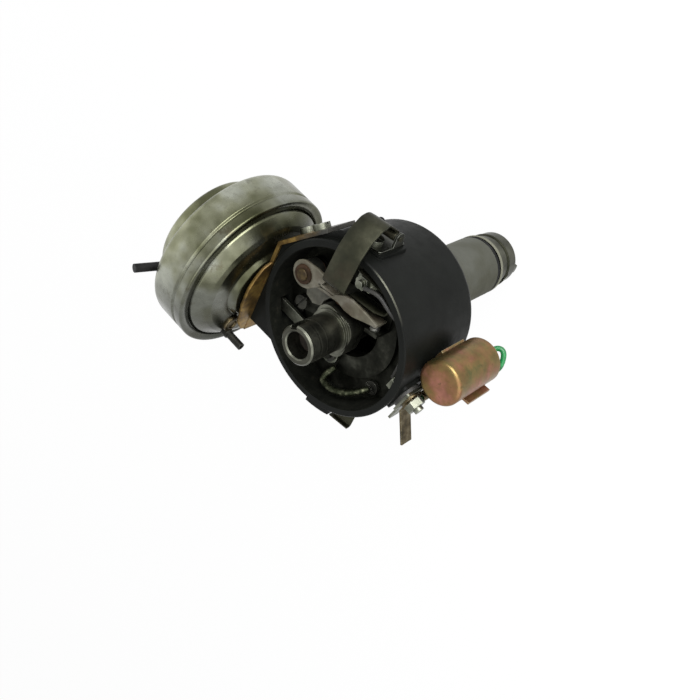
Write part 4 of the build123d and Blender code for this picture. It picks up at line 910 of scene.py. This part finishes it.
WALL_LOW = 44.0
WALL_HIGH = 50.6
side_line = [(4.6, -1.7), (8.0, -1.7), (12.0, -1.6), (16.0, -1.7), (30.0, -1.7), (37.6, -1.6)]
arm_wall("arm_side_wall", side_line, ARM_SHEET, WALL_LOW, WALL_HIGH)
NECK_LOW = 46.5
NECK_SHEET = 0.9
neck_line = [(7.6, 0.2), (11.5, 0.0), (16.6, -0.1)]
arm_wall("arm_neck", neck_line, NECK_SHEET, NECK_LOW, ARM_TOP)
BARREL_RADIUS = 5.3
BARREL_HOLE = 4.02
BARREL_TOP = 49.95
BARREL_DEPTH = 5.9
barrel_outline = circle(BARREL_RADIUS, ROUND_STEPS)
arm_plate("arm_barrel", barrel_outline, BARREL_HOLE, BARREL_TOP, BARREL_DEPTH, "dull_steel")
STRAP_TOP = 46.4
STRAP_SHEET = 0.9
strap_outline = [
    (1.0, -4.4),
    (6.0, -2.2),
    (14.6, -2.2),
    (13.6, -4.4),
    (11.2, -6.2),
    (9.2, -8.6),
    (8.2, -11.6),
    (4.0, -12.8),
    (0.0, -10.8),
    (-0.6, -7.6),
]
arm_plate("arm_strap", strap_outline, 0.0, STRAP_TOP, STRAP_SHEET, "strap_steel")


# ------------------------------------------------------------------ leaf spring of the arm
LEAF_LOW = 44.8
LEAF_HEIGHT = 4.6
LEAF_HIGH = LEAF_LOW + LEAF_HEIGHT
LEAF_SHEET = 0.4
ANCHOR_FACE = 28.6 + LEAF_SHEET
leaf_line = rounded(
    [
        on_arm(22.0, 2.9, 0.0)[:2],
        on_arm(34.0, 2.4, 0.0)[:2],
        on_arm(36.5, 3.0, 0.0)[:2],
        (15.6, 21.6),
        (16.0, 24.6),
        (14.2, 27.4),
        (11.0, ANCHOR_FACE),
        (-2.75, ANCHOR_FACE),
    ],
    (2.0, 2.0, 2.0, 2.0, 2.0, 2.0),
    4,
)
leaf_vertices = []
for index, point in enumerate(leaf_line):
    before = Vector(leaf_line[max(index - 1, 0)])
    after = Vector(leaf_line[min(index + 1, len(leaf_line) - 1)])
    run = (after - before).normalized()
    for x, y in (point, (point[0] - run[1] * LEAF_SHEET, point[1] + run[0] * LEAF_SHEET)):
        leaf_vertices.append((x, y, LEAF_LOW))
        leaf_vertices.append((x, y, LEAF_HIGH))
leaf_faces = bar_faces(len(leaf_line))
leaf = add_piece("arm_spring_leaf", leaf_vertices, leaf_faces, None, "spring_steel", ["arm_spring"])
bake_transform(leaf)


# ------------------------------------------------------------------ face of the vacuum bracket
CHEEK_FRONT = -38.5
CHEEK_BACK = -39.9
cheek_edge = [
    (1.0, 47.0),
    (0.3, 49.4),
    (-1.6, 52.6),
    (-6.3, 55.2),
    (-12.4, 56.9),
    (-21.2, 56.8),
    (-32.3, 54.6),
    (-37.2, 51.6),
    (-38.4, 48.6),
    (-38.4, 47.0),
]
count = len(cheek_edge)
cheek_vertices = [(CHEEK_FRONT, y, z) for y, z in cheek_edge]
cheek_vertices += [(CHEEK_BACK, y, z) for y, z in cheek_edge]
cheek_faces = [tuple(range(count)), tuple(reversed(range(count, 2 * count)))]
for index in range(count):
    after = (index + 1) % count
    cheek_faces.append((index, count + index, count + after, after))
cheek = add_piece(
    "bracket_cheek", cheek_vertices, cheek_faces, "housing", "gold_zinc", finish_name="dark_bracket"
)
round_edges(cheek, 0.35, segments=3)


# ------------------------------------------------------------------ floor, light and camera
CAMERA_PLACE = Vector((110.62, 208.04, 275.30)) * MM
CAMERA_RIGHT = Vector((0.66529, 0.37541, -0.64534))
CAMERA_DOWN = Vector((0.67925, -0.66311, 0.31450))
CAMERA_FORWARD = Vector((-0.30986, -0.64758, -0.69615))
FOCAL_PIXELS = 842.7
IMAGE_PIXELS = 700.0
SENSOR_WIDTH = 36.0

camera_data = bpy.data.cameras.new("camera")
camera_data.sensor_width = SENSOR_WIDTH
camera_data.lens = FOCAL_PIXELS / IMAGE_PIXELS * SENSOR_WIDTH
camera_data.clip_start = 0.01
camera_data.clip_end = 50.0
camera = link_object("camera", camera_data)
turn = Matrix((CAMERA_RIGHT, -CAMERA_DOWN, -CAMERA_FORWARD)).transposed()
camera.matrix_world = Matrix.Translation(CAMERA_PLACE) @ turn.to_4x4()
scene.camera = camera


def seen_share(tree):
    """1 for a ray from the camera, from a reflection or through glass, otherwise 0."""
    path = tree.nodes.new("ShaderNodeLightPath")
    seen = math_node(tree, "MAXIMUM", path.outputs["Is Camera Ray"], path.outputs["Is Glossy Ray"])
    return math_node(tree, "MAXIMUM", seen, path.outputs["Is Transmission Ray"])


def mix_shaders(tree, share, first, second, output):
    """Mix of two shaders, led to an output node's surface."""
    node = tree.nodes.new("ShaderNodeMixShader")
    for socket, value in zip(node.inputs, (share, first, second)):
        tree.links.new(value, socket)
    tree.links.new(node.outputs[0], output.inputs["Surface"])


# The floor is white where it is seen; the rest of its share takes the object's shadow.
FLOOR_GLOW_SHARE = 0.96
floor_mesh = bpy.data.meshes.new("floor")
FLOOR_SIDE = 6.0
FLOOR_Z = -71.5 * MM
floor_mesh.from_pydata(
    [
        (-FLOOR_SIDE, -FLOOR_SIDE, FLOOR_Z),
        (FLOOR_SIDE, -FLOOR_SIDE, FLOOR_Z),
        (FLOOR_SIDE, FLOOR_SIDE, FLOOR_Z),
        (-FLOOR_SIDE, FLOOR_SIDE, FLOOR_Z),
    ],
    [],
    [(0, 1, 2, 3)],
)
floor = link_object("floor", floor_mesh)
floor_material, floor_tree, floor_shader = new_material("floor")
floor_shader.inputs["Base Color"].default_value = (0.86, 0.86, 0.86, 1.0)
floor_shader.inputs["Roughness"].default_value = 0.9
floor_glow = floor_tree.nodes.new("ShaderNodeEmission")
floor_share = math_node(floor_tree, "MULTIPLY", seen_share(floor_tree), FLOOR_GLOW_SHARE)
floor_output = floor_tree.nodes["Material Output"]
mix_shaders(floor_tree, floor_share, floor_shader.outputs[0], floor_glow.outputs[0], floor_output)
floor_mesh.materials.append(floor_material)

world = bpy.data.worlds.new("world")
scene.world = world
world.use_nodes = True
world_tree = world.node_tree
background = world_tree.nodes["Background"]
background.inputs["Color"].default_value = (0.97, 0.98, 1.0, 1.0)
background.inputs["Strength"].default_value = 0.35
white_back = world_tree.nodes.new("ShaderNodeBackground")
white_back.inputs["Color"].default_value = (1.0, 1.0, 1.0, 1.0)
white_back.inputs["Strength"].default_value = 1.0
world_output = world_tree.nodes["World Output"]
seen = seen_share(world_tree)
mix_shaders(world_tree, seen, background.outputs[0], white_back.outputs[0], world_output)


LAMP_TARGET = (0.0, 0.0, 20.0)


def lamp(name, place, size, power):
    """Square soft light at a place in millimetres, turned to the object."""
    data = bpy.data.lights.new(name, "AREA")
    data.shape = "SQUARE"
    data.size = size
    data.energy = power
    light = link_object(name, data)
    light.location = Vector(place) * MM
    direction = Vector(LAMP_TARGET) * MM - light.location
    light.rotation_euler = direction.to_track_quat("-Z", "Y").to_euler()


lamp("key", (90.0, 640.0, 340.0), 0.5, 8.0)
lamp("fill", (420.0, 160.0, 420.0), 0.9, 4.0)
lamp("side", (-560.0, -160.0, 380.0), 0.9, 1.6)

scene.view_settings.view_transform = "Standard"
